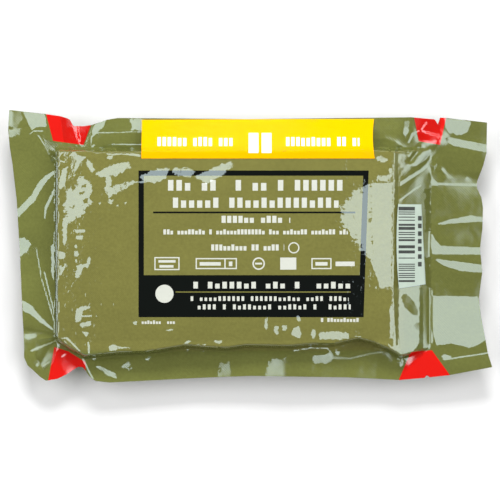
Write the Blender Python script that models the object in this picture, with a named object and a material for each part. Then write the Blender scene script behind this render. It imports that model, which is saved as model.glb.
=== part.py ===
"""Vacuum-packed trauma bandage: a folded pressure dressing sealed between two webs of film.

Metres, +Z up. The pack lies on its back with its long side along X. The origin is the
middle of the flat back, straight under the middle of the dressing.

A place on the pouch is told in zone shares, one along X and one along Y: 0 is the middle
of the dressing, 1 its edge, 2 the foot of the film wall beside it, and 3 the cut edge of
the pouch. Negative shares are on the left and at the bottom. The tables below hold such
shares, so folds, stations and labels stay on what they belong to when a size changes.
"""

import math

import bmesh
import bpy
from mathutils import Vector
from mathutils.bvhtree import BVHTree

# The dressing, as the film holds it
PACK_LENGTH = 0.1296
PACK_WIDTH = 0.0740
PACK_HEIGHT = 0.0184
END_ROLL = 0.0200
END_DROP = 0.0030
SIDE_ROLL = 0.0120
SIDE_DROP = 0.0012

# The film walls beside the dressing, from its edge out to their foot
LEFT_RUN = 0.0024
RIGHT_RUN = 0.0145
TOP_RUN = 0.0025
BOTTOM_RUN = 0.0030

# The sealed margins, from the foot of the wall to the cut edge
LEFT_FIN = 0.0193
RIGHT_FIN = 0.0243
TOP_FLANGE = 0.0142
BOTTOM_FLANGE = 0.0133

# The film and its seal
FILM_WALL = 0.0010
SEAL_GAP = 0.0004
SEAL_HEIGHT = 0.0105
TOP_LIFT = 0.0020
FOLD_HEIGHT = 0.0040
FOLD_WIDTH = 0.0040

# The folded wrap and the pad under it
CLEARANCE = 0.0003
WRAP_RUNS = 6
WRAP_FOLD_GAP = 0.0004
PAD_THICKNESS = 0.0045
PAD_INSET = 0.0030
PAD_ROUNDING = 0.0014
WRAP_RUN_STEPS = 4
WRAP_BEND_STEPS = 4
WRAP_SLICES = 8

# The stuck-on labels
LABEL_WALL = 0.0004
LABEL_CLEARANCE = 0.0003
BAND_LABEL = {
    "left": -0.519, "right": 0.886, "bottom": 0.925, "top": 2.70,
    "across": 20, "along": 8, "taut": True,
}
CODE_LABEL = {
    "left": 1.100, "right": 1.830, "bottom": -0.430, "top": 0.465,
    "across": 6, "along": 10, "taut": False,
}

# Where the grid lines of the film run: from one zone share to the next, in equal steps
ACROSS_STATIONS = (
    {"from": -3.0, "to": -2.0, "steps": 6},
    {"from": -2.0, "to": -1.0, "steps": 2},
    {"from": -1.0, "to": -0.7, "steps": 5},
    {"from": -0.7, "to": 0.66, "steps": 6},
    {"from": 0.66, "to": 1.0, "steps": 4},
    {"from": 1.0, "to": 2.0, "steps": 4},
    {"from": 2.0, "to": 3.0, "steps": 7},
)
ALONG_STATIONS = (
    {"from": -3.0, "to": -2.0, "steps": 4},
    {"from": -2.0, "to": -1.0, "steps": 2},
    {"from": -1.0, "to": -0.5, "steps": 4},
    {"from": -0.5, "to": 0.5, "steps": 6},
    {"from": 0.5, "to": 1.0, "steps": 4},
    {"from": 1.0, "to": 2.0, "steps": 2},
    {"from": 2.0, "to": 3.0, "steps": 4},
)

# How far each cut edge comes in from its widest place, as a share of the margin there
LEFT_EDGE = (
    {"at": -3.0, "inset": 0.50},
    {"at": -2.6, "inset": 0.37},
    {"at": -0.9, "inset": 0.33},
    {"at": -0.1, "inset": 0.26},
    {"at": 0.5, "inset": 0.19},
    {"at": 0.87, "inset": 0.10},
    {"at": 1.6, "inset": 0.03},
    {"at": 3.0, "inset": 0.02},
)
RIGHT_EDGE = (
    {"at": -3.0, "inset": 0.00},
    {"at": -1.6, "inset": 0.06},
    {"at": -0.95, "inset": 0.12},
    {"at": -0.55, "inset": 0.21},
    {"at": -0.27, "inset": 0.16},
    {"at": -0.03, "inset": 0.20},
    {"at": 0.23, "inset": 0.15},
    {"at": 0.47, "inset": 0.16},
    {"at": 0.66, "inset": 0.24},
    {"at": 0.87, "inset": 0.14},
    {"at": 1.4, "inset": 0.08},
    {"at": 3.0, "inset": 0.08},
)
TOP_EDGE = (
    {"at": -3.0, "inset": 0.00},
    {"at": -2.21, "inset": 0.11},
    {"at": -1.40, "inset": 0.19},
    {"at": -0.955, "inset": 0.30},
    {"at": -0.91, "inset": 0.45},
    {"at": -0.83, "inset": 0.43},
    {"at": -0.73, "inset": 0.28},
    {"at": -0.65, "inset": 0.23},
    {"at": 0.13, "inset": 0.27},
    {"at": 1.50, "inset": 0.20},
    {"at": 2.00, "inset": 0.24},
    {"at": 3.0, "inset": 0.35},
)
BOTTOM_EDGE = (
    {"at": -3.0, "inset": 0.44},
    {"at": -2.64, "inset": 0.14},
    {"at": -2.30, "inset": 0.05},
    {"at": -1.90, "inset": 0.08},
    {"at": -1.40, "inset": 0.11},
    {"at": -0.97, "inset": 0.28},
    {"at": -0.91, "inset": 0.46},
    {"at": -0.87, "inset": 0.43},
    {"at": -0.82, "inset": 0.16},
    {"at": -0.70, "inset": 0.00},
    {"at": -0.17, "inset": 0.13},
    {"at": 0.13, "inset": 0.20},
    {"at": 0.73, "inset": 0.15},
    {"at": 1.19, "inset": 0.08},
    {"at": 2.00, "inset": 0.15},
    {"at": 3.0, "inset": 0.46},
)

# The tear notches, cut through both webs
NOTCH_DEPTH = 0.0022
NOTCH_HALF_WIDTH = 0.0013
NOTCHES = (
    {"edge": "top", "at": 2.10},
    {"edge": "bottom", "at": 1.93},
)

# A grid line this near a notch, in half widths of it, gives way to the notch's own lines
NOTCH_ROOM = 1.6

# Ridges and valleys of the film, from one place to another. A height is a share of
# FOLD_HEIGHT, minus for a valley, and a width a share of FOLD_WIDTH.
FOLDS = (
    # The right fin ripples from the foot of the wall out to its edge
    {"u0": 2.1, "v0": 1.2, "u1": 3.0, "v1": 1.00, "rise0": 0.2, "rise1": 0.5, "width": 1.1},
    {"u0": 2.0, "v0": 0.74, "u1": 3.0, "v1": 0.68, "rise0": -0.2, "rise1": -0.5, "width": 1.1},
    {"u0": 2.0, "v0": 0.28, "u1": 3.0, "v1": 0.24, "rise0": -0.2, "rise1": -0.4, "width": 1.3},
    {"u0": 2.0, "v0": -0.12, "u1": 3.0, "v1": -0.17, "rise0": 0.1, "rise1": 0.3, "width": 1.3},
    {"u0": 2.0, "v0": -0.46, "u1": 3.0, "v1": -0.53, "rise0": -0.2, "rise1": -0.5, "width": 1.1},
    {"u0": 2.1, "v0": -0.90, "u1": 3.0, "v1": -1.00, "rise0": 0.1, "rise1": 0.4, "width": 2.0},
    {"u0": 2.3, "v0": -2.5, "u1": 3.0, "v1": -2.6, "rise0": 0.0, "rise1": 0.6, "width": 2.0},
    # The left fin
    {"u0": -2.0, "v0": 0.80, "u1": -3.0, "v1": 0.28, "rise0": 0.3, "rise1": 0.5, "width": 1.2},
    {"u0": -2.0, "v0": 0.20, "u1": -3.0, "v1": -0.10, "rise0": -0.1, "rise1": -0.4, "width": 1.5},
    {"u0": -2.0, "v0": -0.85, "u1": -3.0, "v1": -0.55, "rise0": 0.2, "rise1": 0.5, "width": 1.2},
    {"u0": -2.0, "v0": -0.95, "u1": -3.0, "v1": -1.05, "rise0": -0.3, "rise1": -0.7, "width": 0.9},
    {"u0": -2.1, "v0": -2.0, "u1": -2.9, "v1": -2.5, "rise0": 0.2, "rise1": 0.6, "width": 1.4},
    {"u0": -2.3, "v0": 2.6, "u1": -3.0, "v1": 2.9, "rise0": 0.2, "rise1": 0.9, "width": 2.4},
    # The tucks at the four corners of the dressing
    {"u0": -0.90, "v0": 3.0, "u1": -0.93, "v1": 2.0, "rise0": -1.5, "rise1": -0.5, "width": 0.9},
    {"u0": -2.40, "v0": 2.3, "u1": -1.90, "v1": 1.0, "rise0": -0.5, "rise1": -0.4, "width": 0.7},
    {"u0": -1.60, "v0": 1.0, "u1": -0.95, "v1": 1.8, "rise0": 0.3, "rise1": 0.4, "width": 0.5},
    {"u0": 2.15, "v0": 2.2, "u1": 1.15, "v1": 0.72, "rise0": 0.5, "rise1": 0.3, "width": 0.6},
    {"u0": 2.05, "v0": 1.2, "u1": 1.15, "v1": 0.50, "rise0": -0.3, "rise1": -0.3, "width": 0.6},
    {"u0": -0.89, "v0": -3.0, "u1": -1.60, "v1": -1.4, "rise0": 1.5, "rise1": 0.3, "width": 1.0},
    {"u0": -1.70, "v0": -1.1, "u1": -0.85, "v1": -2.2, "rise0": 0.2, "rise1": 0.3, "width": 0.5},
    {"u0": 0.98, "v0": -1.6, "u1": 1.25, "v1": -2.3, "rise0": -0.3, "rise1": -0.4, "width": 1.0},
    # The top flange rises along its middle, and the bottom one waves a little
    {"u0": -0.6, "v0": 2.40, "u1": 1.5, "v1": 2.40, "rise0": 0.3, "rise1": 0.3, "width": 1.1},
    {"u0": -0.5, "v0": -2.7, "u1": 0.3, "v1": -2.6, "rise0": -0.2, "rise1": 0.3, "width": 1.6},
    {"u0": 0.3, "v0": -2.6, "u1": 0.9, "v1": -2.8, "rise0": 0.3, "rise1": -0.3, "width": 1.6},
)


def clear_scene():
    """Removes whatever the scene holds."""
    for item in list(bpy.data.objects):
        bpy.data.objects.remove(item, do_unlink=True)


def finish_material(name, colour, roughness, metallic=0.0):
    """A plain shader with the part's colour, roughness and metallic value."""
    material = bpy.data.materials.new(name)
    material.use_nodes = True
    shader = material.node_tree.nodes["Principled BSDF"]
    shader.inputs["Base Color"].default_value = (*colour, 1.0)
    shader.inputs["Roughness"].default_value = roughness
    shader.inputs["Metallic"].default_value = metallic
    return material


def add_object(name, shape, material):
    """A mesh object made from a closed shape, which is freed."""
    bmesh.ops.recalc_face_normals(shape, faces=shape.faces)
    mesh = bpy.data.meshes.new(name)
    shape.to_mesh(mesh)
    shape.free()
    mesh.materials.append(material)
    mesh.shade_smooth()
    mesh.set_sharp_from_angle(angle=math.radians(40))
    item = bpy.data.objects.new(name, mesh)
    bpy.context.scene.collection.objects.link(item)
    return item


def smooth(share):
    """0 to 1 with a level start and end."""
    share = min(1.0, max(0.0, share))
    return share * share * (3.0 - 2.0 * share)


def read_edge(table, at):
    """The inset at a place between two rows of an edge's table, eased from one to the next."""
    if at <= table[0]["at"]:
        return table[0]["inset"]
    for before, after in zip(table, table[1:]):
        if at <= after["at"]:
            share = smooth((at - before["at"]) / (after["at"] - before["at"]))
            return before["inset"] + (after["inset"] - before["inset"]) * share
    return table[-1]["inset"]


def from_zone(share, half, run, margin):
    """The coordinate of a zone share, from the dressing's half size and what lies beside it."""
    size = abs(share)
    place = half * min(size, 1.0) + run * min(max(size - 1.0, 0.0), 1.0)
    place += margin * max(size - 2.0, 0.0)
    return math.copysign(place, share)


def x_of(u, inset=0.0):
    """X of a zone share along the length, with the cut edge's inset there."""
    run, fin = (LEFT_RUN, LEFT_FIN) if u < 0 else (RIGHT_RUN, RIGHT_FIN)
    return from_zone(u, PACK_LENGTH / 2, run, fin * (1.0 - inset))


def y_of(v, inset=0.0):
    """Y of a zone share along the width, with the cut edge's inset there."""
    run, flange = (BOTTOM_RUN, BOTTOM_FLANGE) if v < 0 else (TOP_RUN, TOP_FLANGE)
    return from_zone(v, PACK_WIDTH / 2, run, flange * (1.0 - inset))


def stations(table):
    """The zone shares of the grid lines, from a table of zones and steps."""
    shares = [table[0]["from"]]
    for zone in table:
        reach = zone["to"] - zone["from"]
        for step in range(1, zone["steps"] + 1):
            shares.append(zone["from"] + reach * step / zone["steps"])
    return shares


def notch_half(notch):
    """Half the notch's width as a zone share, where it lies right of the dressing."""
    return NOTCH_HALF_WIDTH / (RIGHT_FIN if notch["at"] > 2.0 else RIGHT_RUN)


def notched_stations():
    """The grid lines along the length, with three at each tear notch in place of those near it."""
    shares = stations(ACROSS_STATIONS)
    for notch in NOTCHES:
        at, half = notch["at"], notch_half(notch)
        shares = [share for share in shares if share == 2.0 or abs(share - at) > NOTCH_ROOM * half]
        shares += [at - half, at, at + half]
    return sorted(shares)


def notch_depth(edge, u):
    """How deep a tear notch is cut into an edge at this share along the length."""
    depths = [0.0]
    for notch in NOTCHES:
        if notch["edge"] == edge:
            depths.append(NOTCH_DEPTH * (1.0 - abs(u - notch["at"]) / notch_half(notch)))
    return max(depths)


def plan_point(u, v):
    """X and Y of a grid point, with the pouch's cut outline worked in."""
    x = x_of(u, read_edge(LEFT_EDGE if u < 0 else RIGHT_EDGE, v))
    if v < 0:
        return x, y_of(v, read_edge(BOTTOM_EDGE, u) + notch_depth("bottom", u) / BOTTOM_FLANGE)
    return x, y_of(v, read_edge(TOP_EDGE, u) + notch_depth("top", u) / TOP_FLANGE)


def beyond(place, half, low_run, high_run):
    """How far a coordinate lies outside the dressing, as a share of the wall's run there."""
    return max(0.0, abs(place) - half) / (low_run if place < 0 else high_run)


def on_dressing(x, y):
    """1 over the dressing, easing to 0 at the foot of the film walls."""
    out_x = beyond(x, PACK_LENGTH / 2, LEFT_RUN, RIGHT_RUN)
    out_y = beyond(y, PACK_WIDTH / 2, BOTTOM_RUN, TOP_RUN)
    return 1.0 - smooth(math.hypot(out_x, out_y))


def roll_off(place, half, roll, drop):
    """The drop of the dressing's top towards an edge, steady after an eased start."""
    share = min(1.0, max(0.0, (abs(place) - half + roll) / roll))
    return drop * share * math.sqrt(share)


def fold_relief(x, y):
    """The height that the ridges and valleys of the film add at a place."""
    relief = 0.0
    for fold in FOLDS:
        start = Vector((x_of(fold["u0"]), y_of(fold["v0"])))
        run = Vector((x_of(fold["u1"]), y_of(fold["v1"]))) - start
        off = Vector((x, y)) - start
        share = min(1.0, max(0.0, off.dot(run) / run.length_squared))
        distance = (off - run * share).length / (FOLD_WIDTH * fold["width"])
        rise = fold["rise0"] + (fold["rise1"] - fold["rise0"]) * share
        relief += FOLD_HEIGHT * rise * math.exp(-distance * distance)
    return relief


def seal_height(x, y):
    """Height of the plane where the two webs are welded, without the folds."""
    up = smooth(y / (PACK_WIDTH / 2 + TOP_RUN + TOP_FLANGE))
    aside = smooth(abs(x) / (PACK_LENGTH / 2 + RIGHT_RUN))
    return SEAL_HEIGHT + TOP_LIFT * up * (1.0 - aside)


def front_height(x, y):
    """Height of the front web's inner face."""
    held = on_dressing(x, y)
    top = FILM_WALL + PACK_HEIGHT
    top -= roll_off(x, PACK_LENGTH / 2, END_ROLL, END_DROP)
    top -= roll_off(y, PACK_WIDTH / 2, SIDE_ROLL, SIDE_DROP)
    seal = seal_height(x, y) + SEAL_GAP / 2
    return seal + (top - seal) * held + fold_relief(x, y) * math.sqrt(1.0 - held)


def back_height(x, y):
    """Height of the back web's inner face, flat under the dressing."""
    held = on_dressing(x, y)
    seal = seal_height(x, y) - SEAL_GAP / 2 + fold_relief(x, y)
    return seal + (FILM_WALL - seal) * held


def sheet_shape(points, wall):
    """A closed sheet: rows of points with a wall on their upper side, or the lower if minus."""
    rows, columns = len(points), len(points[0])
    shape = bmesh.new()
    bmesh.ops.create_grid(shape, x_segments=columns - 1, y_segments=rows - 1, size=1.0)
    for number, vertex in enumerate(shape.verts):
        vertex.co = points[number // columns][number % columns]
    bmesh.ops.triangulate(shape, faces=shape.faces, quad_method="FIXED")
    bmesh.ops.recalc_face_normals(shape, faces=shape.faces)
    if (shape.faces[0].normal.z > 0) != (wall > 0):
        bmesh.ops.reverse_faces(shape, faces=shape.faces)
    shape.normal_update()
    bmesh.ops.solidify(shape, geom=shape.faces, thickness=-abs(wall))
    return shape


def build_web(name, height, wall, material):
    """One web of the pouch, from the height of its inner face, flat where it rests."""
    points = []
    for v in stations(ALONG_STATIONS):
        places = [plan_point(u, v) for u in notched_stations()]
        points.append([Vector((x, y, height(x, y))) for x, y in places])
    shape = sheet_shape(points, wall)
    for vertex in shape.verts:
        vertex.co.z = max(vertex.co.z, 0.0)
    return add_object(name, shape, material)


def surface_of(item):
    """The faces of a mesh object, ready for finding heights on them."""
    shape = bmesh.new()
    shape.from_mesh(item.data)
    tree = BVHTree.FromBMesh(shape)
    shape.free()
    return tree


def height_met(tree, x, y, start, way):
    """The height of the first face met from a start, going up (1) or down (-1), if any."""
    hit = tree.ray_cast(Vector((x, y, start)), Vector((0.0, 0.0, way)))[0]
    return None if hit is None else hit.z


def wrap_section(length, thickness, gap):
    """Outline of a strip folded to and fro: points of (x, height) round it."""
    pitch = thickness + gap
    outer = (pitch + thickness) / 2
    straight_end = length / 2 - outer
    under, over = [], []
    for run in range(WRAP_RUNS):
        way = 1 if run % 2 == 0 else -1
        level = thickness / 2 + run * pitch
        start = -way * (straight_end if run else length / 2)
        end = way * (straight_end if run < WRAP_RUNS - 1 else length / 2)
        for step in range(WRAP_RUN_STEPS + 1):
            x = start + (end - start) * step / WRAP_RUN_STEPS
            under.append((x, level - way * thickness / 2))
            over.append((x, level + way * thickness / 2))
        if run == WRAP_RUNS - 1:
            break
        for step in range(1, WRAP_BEND_STEPS):
            turn = math.pi * (step / WRAP_BEND_STEPS - 0.5)
            radii = (outer, gap / 2) if way > 0 else (gap / 2, outer)
            for side, radius in zip((under, over), radii):
                x = end + way * radius * math.cos(turn)
                side.append((x, level + pitch / 2 + radius * math.sin(turn)))
    return under + over[::-1]


def build_wrap(front, material):
    """The elastic wrap, folded to and fro into a block that fills the pouch over the pad."""
    floor = FILM_WALL + CLEARANCE + PAD_THICKNESS + CLEARANCE
    full = FILM_WALL + PACK_HEIGHT - CLEARANCE - floor
    thickness = (full - (WRAP_RUNS - 1) * WRAP_FOLD_GAP) / WRAP_RUNS
    width = PACK_WIDTH - 2 * CLEARANCE
    shape = bmesh.new()
    section = wrap_section(PACK_LENGTH - 2 * CLEARANCE, thickness, WRAP_FOLD_GAP)
    outline = [shape.verts.new((x, -width / 2, level)) for x, level in section]
    end = shape.faces.new(outline)
    for number in range(WRAP_SLICES):
        added = bmesh.ops.extrude_face_region(shape, geom=[end], use_keep_orig=number == 0)["geom"]
        moved = [item for item in added if isinstance(item, bmesh.types.BMVert)]
        shift = Vector((0.0, width / WRAP_SLICES, 0.0))
        bmesh.ops.translate(shape, verts=moved, vec=shift)
        faces = [item for item in added if isinstance(item, bmesh.types.BMFace)]
        if number:
            bmesh.ops.delete(shape, geom=[end], context="FACES_ONLY")
        end = max(faces, key=lambda face: len(face.verts))
    for vertex in shape.verts:
        x, y, level = vertex.co
        ceiling = height_met(front, x, y, floor, 1.0) - CLEARANCE
        vertex.co.z = floor + (ceiling - floor) * level / full
    return add_object("elastic_wrap", shape, material)


def build_pad(material):
    """The absorbent pad: a soft slab with rounded edges, flat under the wrap."""
    bpy.ops.mesh.primitive_cube_add(size=1.0)
    pad = bpy.context.object
    pad.name = "absorbent_pad"
    pad.data.name = "absorbent_pad"
    size = (PACK_LENGTH - 2 * PAD_INSET, PACK_WIDTH - 2 * PAD_INSET, PAD_THICKNESS)
    for vertex in pad.data.vertices:
        vertex.co = Vector([place * side for place, side in zip(vertex.co, size)])
    pad.location.z = FILM_WALL + CLEARANCE + PAD_THICKNESS / 2
    rounding = pad.modifiers.new("soft edges", "BEVEL")
    rounding.width = min(PAD_ROUNDING, PAD_THICKNESS / 2.5)
    rounding.segments = 3
    pad.data.materials.append(material)
    return pad


def taut_over(profile):
    """Heights of a strip pulled taut over a profile of (place, height) points."""
    held = []
    for place, height in profile:
        while len(held) > 1:
            (x0, z0), (x1, z1) = held[-2:]
            if (z1 - z0) * (place - x0) > (height - z0) * (x1 - x0):
                break
            held.pop()
        held.append((place, height))
    heights = []
    for place, _ in profile:
        spans = [span for span in zip(held, held[1:]) if span[0][0] <= place <= span[1][0]]
        (x0, z0), (x1, z1) = spans[0]
        heights.append(z0 + (z1 - z0) * (place - x0) / (x1 - x0))
    return heights


def height_round(tree, x, y, reach):
    """The greatest height of the film at a place and close round it."""
    heights = []
    for dx in (-reach, 0.0, reach):
        for dy in (-reach, 0.0, reach):
            heights.append(height_met(tree, x + dx, y + dy, PACK_HEIGHT * 3, -1.0))
    return max(height for height in heights if height is not None)


def build_label(name, label, front, material):
    """A label on the front web. It follows the film, or is pulled taut over its hollows."""
    left, right = x_of(label["left"]), x_of(label["right"])
    bottom, top = y_of(label["bottom"]), y_of(label["top"])
    across, along = label["across"], label["along"]
    reach = max((right - left) / across, (top - bottom) / along) / 2
    columns = []
    for i in range(across + 1):
        x = left + (right - left) * i / across
        places = [bottom + (top - bottom) * j / along for j in range(along + 1)]
        heights = [height_round(front, x, y, reach) for y in places]
        if label["taut"]:
            heights = taut_over(list(zip(places, heights)))
        columns.append([Vector((x, y, z + LABEL_CLEARANCE)) for y, z in zip(places, heights)])
    return add_object(name, sheet_shape(list(zip(*columns)), LABEL_WALL), material)


def build():
    """Builds the pouch, the dressing in it and the labels on it."""
    clear_scene()
    olive = finish_material("olive_film", (0.20, 0.19, 0.055), 0.25)
    gauze = finish_material("elastic_gauze", (0.23, 0.22, 0.12), 0.90)
    cotton = finish_material("pad_cotton", (0.80, 0.79, 0.74), 0.95)
    yellow = finish_material("yellow_label", (0.95, 0.68, 0.01), 0.35)
    white = finish_material("white_label", (0.75, 0.78, 0.74), 0.40)
    front = surface_of(build_web("front_film", front_height, FILM_WALL, olive))
    build_web("back_film", back_height, -FILM_WALL, olive)
    build_wrap(front, gauze)
    build_pad(cotton)
    build_label("band_label", BAND_LABEL, front, yellow)
    build_label("code_label", CODE_LABEL, front, white)


build()
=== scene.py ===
"""Vacuum-packed trauma bandage, dressed for its photograph.

The pouch's two webs, the folded dressing in it and its two labels take the places of the
plain CAD solids. Lengths are metres in the row frame: the pack lies on its back, with its
long side along X and the band label's side towards +Y.
"""

import math
from typing import NamedTuple

import bpy
import numpy as np
from bpy.props import FloatProperty, FloatVectorProperty, PointerProperty
from bpy.types import Operator, Panel, PropertyGroup
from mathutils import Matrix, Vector
from mathutils.bvhtree import BVHTree


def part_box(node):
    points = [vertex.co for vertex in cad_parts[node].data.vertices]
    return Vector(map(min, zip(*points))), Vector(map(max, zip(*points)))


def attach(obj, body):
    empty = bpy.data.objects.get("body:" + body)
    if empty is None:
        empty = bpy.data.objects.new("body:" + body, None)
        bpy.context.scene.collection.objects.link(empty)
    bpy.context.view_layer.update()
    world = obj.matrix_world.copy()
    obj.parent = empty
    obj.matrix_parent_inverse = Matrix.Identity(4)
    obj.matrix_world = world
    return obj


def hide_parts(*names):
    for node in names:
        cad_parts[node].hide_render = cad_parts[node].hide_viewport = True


bl_info = {
    "name": "Trauma bandage pack",
    "version": (1, 0, 0),
    "blender": (4, 5, 0),
    "location": "3D View > Sidebar > Bandage",
    "description": "Builds a vacuum-packed trauma bandage with its labels and studio",
    "category": "Add Mesh",
}

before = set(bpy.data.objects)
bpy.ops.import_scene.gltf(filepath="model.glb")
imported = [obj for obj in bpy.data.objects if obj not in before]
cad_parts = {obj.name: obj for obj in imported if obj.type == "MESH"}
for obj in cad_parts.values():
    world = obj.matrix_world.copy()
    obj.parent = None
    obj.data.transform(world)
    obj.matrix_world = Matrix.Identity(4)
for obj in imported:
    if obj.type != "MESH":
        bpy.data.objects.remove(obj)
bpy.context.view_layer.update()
FRONT_LOW, FRONT_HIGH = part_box("front_film")
WRAP_LOW, WRAP_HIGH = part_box("elastic_wrap")
PAD_LOW, PAD_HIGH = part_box("absorbent_pad")

MM = 0.001

# Places are read off the photograph as (px, py). One pixel is this long on the object, and
# this pixel lies straight over the frame's origin.
PIXEL = 0.0003926
MIDDLE = (228.0, 246.75)
PICTURE = (500, 500)

# The pouch's cut outline
TOP_EDGE = (
    (9.4, 110), (45, 114), (60, 116.1), (67, 118.2), (70, 119.7), (73, 126), (83, 126.2),
    (92, 125), (107, 119.9), (118, 118.1), (250, 119.4), (411, 117.3), (430, 119),
    (434.5, 119.3), (438, 124.5), (440, 117.6), (445.6, 117.9), (487, 122.6),
)
BOTTOM_EDGE = (
    (27.8, 365.4), (33, 370), (40.2, 376.8), (46, 380.7), (57.4, 378.8), (67, 374),
    (78.5, 366.5), (83.3, 367.3), (90, 376.8), (95.7, 381), (110, 382.5), (200, 377.9),
    (250, 375.9), (348, 377.4), (400, 380), (422, 378), (424.5, 378), (427, 374.7),
    (429.5, 377.3), (450, 375), (492, 367),
)
LEFT_EDGE = (
    (27.8, 365.4), (24.3, 357.7), (24, 345), (23.5, 335), (20.2, 260), (16.9, 200),
    (12.7, 165), (9.9, 148), (8.2, 130), (9.4, 110),
)
RIGHT_EDGE = (
    (492, 367), (487.7, 353), (484.9, 337), (480.8, 315), (479, 298), (482.1, 272),
    (480, 248.5), (482.4, 229), (483, 208), (481.5, 197.8), (477.2, 188.3), (477.2, 181.6),
    (483, 166), (486.4, 152.8), (487, 122.6),
)

# Where the film leaves the dressing: how far each wall runs, in pixels, and the line of its foot
LEFT_RUN = 3.6
RIGHT_RUN = 37.0
TOP_RUN = 4.6
BOTTOM_RUN = 4.6
LEFT_FOOT = ((348, 55), (300, 55.5), (240, 55), (190, 55.5), (146, 56))
RIGHT_FOOT = ((350, 430), (250, 429), (146, 431))
TOP_FOOT = ((55, 147), (110, 148.5), (130, 148.5), (375, 147), (395, 148), (430, 146))
BOTTOM_FOOT = (
    (55, 340), (70, 351), (85, 358.7), (120, 355.4), (146.8, 354.5), (164.6, 351.8),
    (186, 348.2), (205.7, 350), (227, 350.9), (245, 348.2), (289.6, 349), (312.9, 346.8),
    (334.3, 346.8), (357.5, 341.6), (372, 345), (387, 351), (400, 359), (430, 352),
)

# The ripple of the end fins at their cut edge, in millimetres over the seal: (py, rise)
LEFT_RIPPLE = (
    (105, 0.7), (122, 0.5), (148, 0), (178, 0.4), (205, 0.9), (225, 0.4), (248, -0.8), (270, -0.1),
    (300, 0.8), (318, 0.1), (335, -1.1), (345, -0.5), (360, 0.9), (380, 0.5),
)
RIGHT_RIPPLE = (
    (112, 0.3), (122, 0.4), (137, 0.0), (153, 0.8), (170, 0.2), (182, -0.6), (198, -0.3),
    (214, -0.5), (222, -0.2), (234, -0.6), (255, 0.4), (272, 0.5), (286, -0.1), (296, -0.6),
    (316, 0.1), (340, 0.6), (354, 0.3), (367, 1.0),
)


class Fold(NamedTuple):
    """A ridge of the film, or a valley where its rises are minus, along a line of pixels.

    Its rises and its width are millimetres.
    """

    path: tuple
    rises: tuple
    width: float
    sharp: bool = False


BROAD_FOLDS = (
    Fold(((79.5, 108), (74.5, 146)), (-2.0, -0.7), 3.4),
    Fold(((58, 152.5), (71, 147.4)), (1.0, 1.2), 2.0),
    Fold(((439, 139), (398.6, 178.9)), (1.0, 0.5), 2.6),
    Fold(((433, 151), (398.6, 199.6)), (-0.8, -0.6), 2.6),
    Fold(((84.5, 384), (74, 362), (58, 344)), (1.2, 0.5, 0.1), 4.0),
    Fold(((389.8, 345.6), (402.3, 358.8)), (-0.8, -1.6), 3.0),
    Fold(((96, 133), (150, 131.7), (411.5, 131.7)), (0.0, 1.2, 1.2, 1.2, 1.2), 4.4),
    Fold(((100, 374), (145.5, 372.3), (277.5, 369), (376.5, 375.7)), (0.6, -0.8, 1.2, -1.0), 6.4),
    Fold(((430, 171.4), (492, 184.6)), (-0.4, -1.0), 4.0),
)
CREASES = (
    # Top left corner
    Fold(((9, 128.5), (20, 127.8), (33, 127.8), (44, 127)), (-0.15, -0.15), 0.7, True),
    Fold(((35, 133.5), (41, 137.8), (45, 145), (48.8, 153.6), (57.4, 161.2)), (-0.2, -0.2), 1.2),
    Fold(((73.2, 148.8), (79.4, 156), (85.2, 157.4), (95.7, 157.4)), (0.55, 0.3), 0.8, True),
    Fold(((83, 152.8), (95, 153), (105, 150.7)), (-0.6, -0.5), 0.9),
    Fold(((97.6, 151.7), (107, 147.8), (130, 149.8)), (-0.6, -0.5), 0.9),
    # Left fin and wall
    Fold(((23, 331), (38, 333.5), (53.6, 336.7)), (-0.5, -0.5), 1.3),
    # Bottom left corner
    Fold(((40, 364.4), (47, 352), (55.5, 341.4)), (-0.4, -0.4), 1.3),
    # Top right corner and gusset
    Fold(((372.9, 139.5), (384.4, 138.5), (394.9, 142.3), (405.4, 150)), (0.4, 0.5), 0.8, True),
    Fold(((399, 149), (403, 151), (408, 152)), (-0.6, -0.5), 0.9),
    Fold(((420, 149), (415, 155), (410, 161)), (-0.7, -0.6), 1.0),
    Fold(((432, 165), (438, 169)), (0.35, 0.2), 0.6, True),
    Fold(((441, 170), (447.5, 176.8)), (0.35, 0.2), 0.6, True),
    Fold(((444.6, 178), (465.7, 178.7)), (0.4, 0.3), 0.8, True),
    # Right slope
    Fold(((430.3, 290), (430, 320), (430.3, 342)), (-0.4, -0.4), 0.8),
    Fold(((399.7, 362.7), (401.6, 359.8), (396, 331)), (0.5, 0.3), 0.9, True),
    # Bottom crease and its ridges
    Fold(((96, 358.5), (120, 356.4), (146.8, 355.5), (164.6, 352.8), (186, 349.2)), (-0.5, -0.5), 0.9),
    Fold(((205.7, 351), (227, 351.9), (245, 349.2), (289.6, 350)), (-0.4, -0.4), 0.9),
    Fold(((340, 352), (357.5, 346), (379, 348.9)), (-0.6, -0.5), 1.0),
    Fold(((375, 343), (387, 345), (393, 353), (399.7, 362.7)), (0.4, 0.5), 0.8, True),
)


class Flat(NamedTuple):
    """A leaning flat of the film: its corners in pixels, and its lean east in degrees.

    Its raggedness is in pixels. A later flat lies over the ones before it.
    """

    corners: tuple
    lean: float
    ragged: float = 0.4


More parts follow.
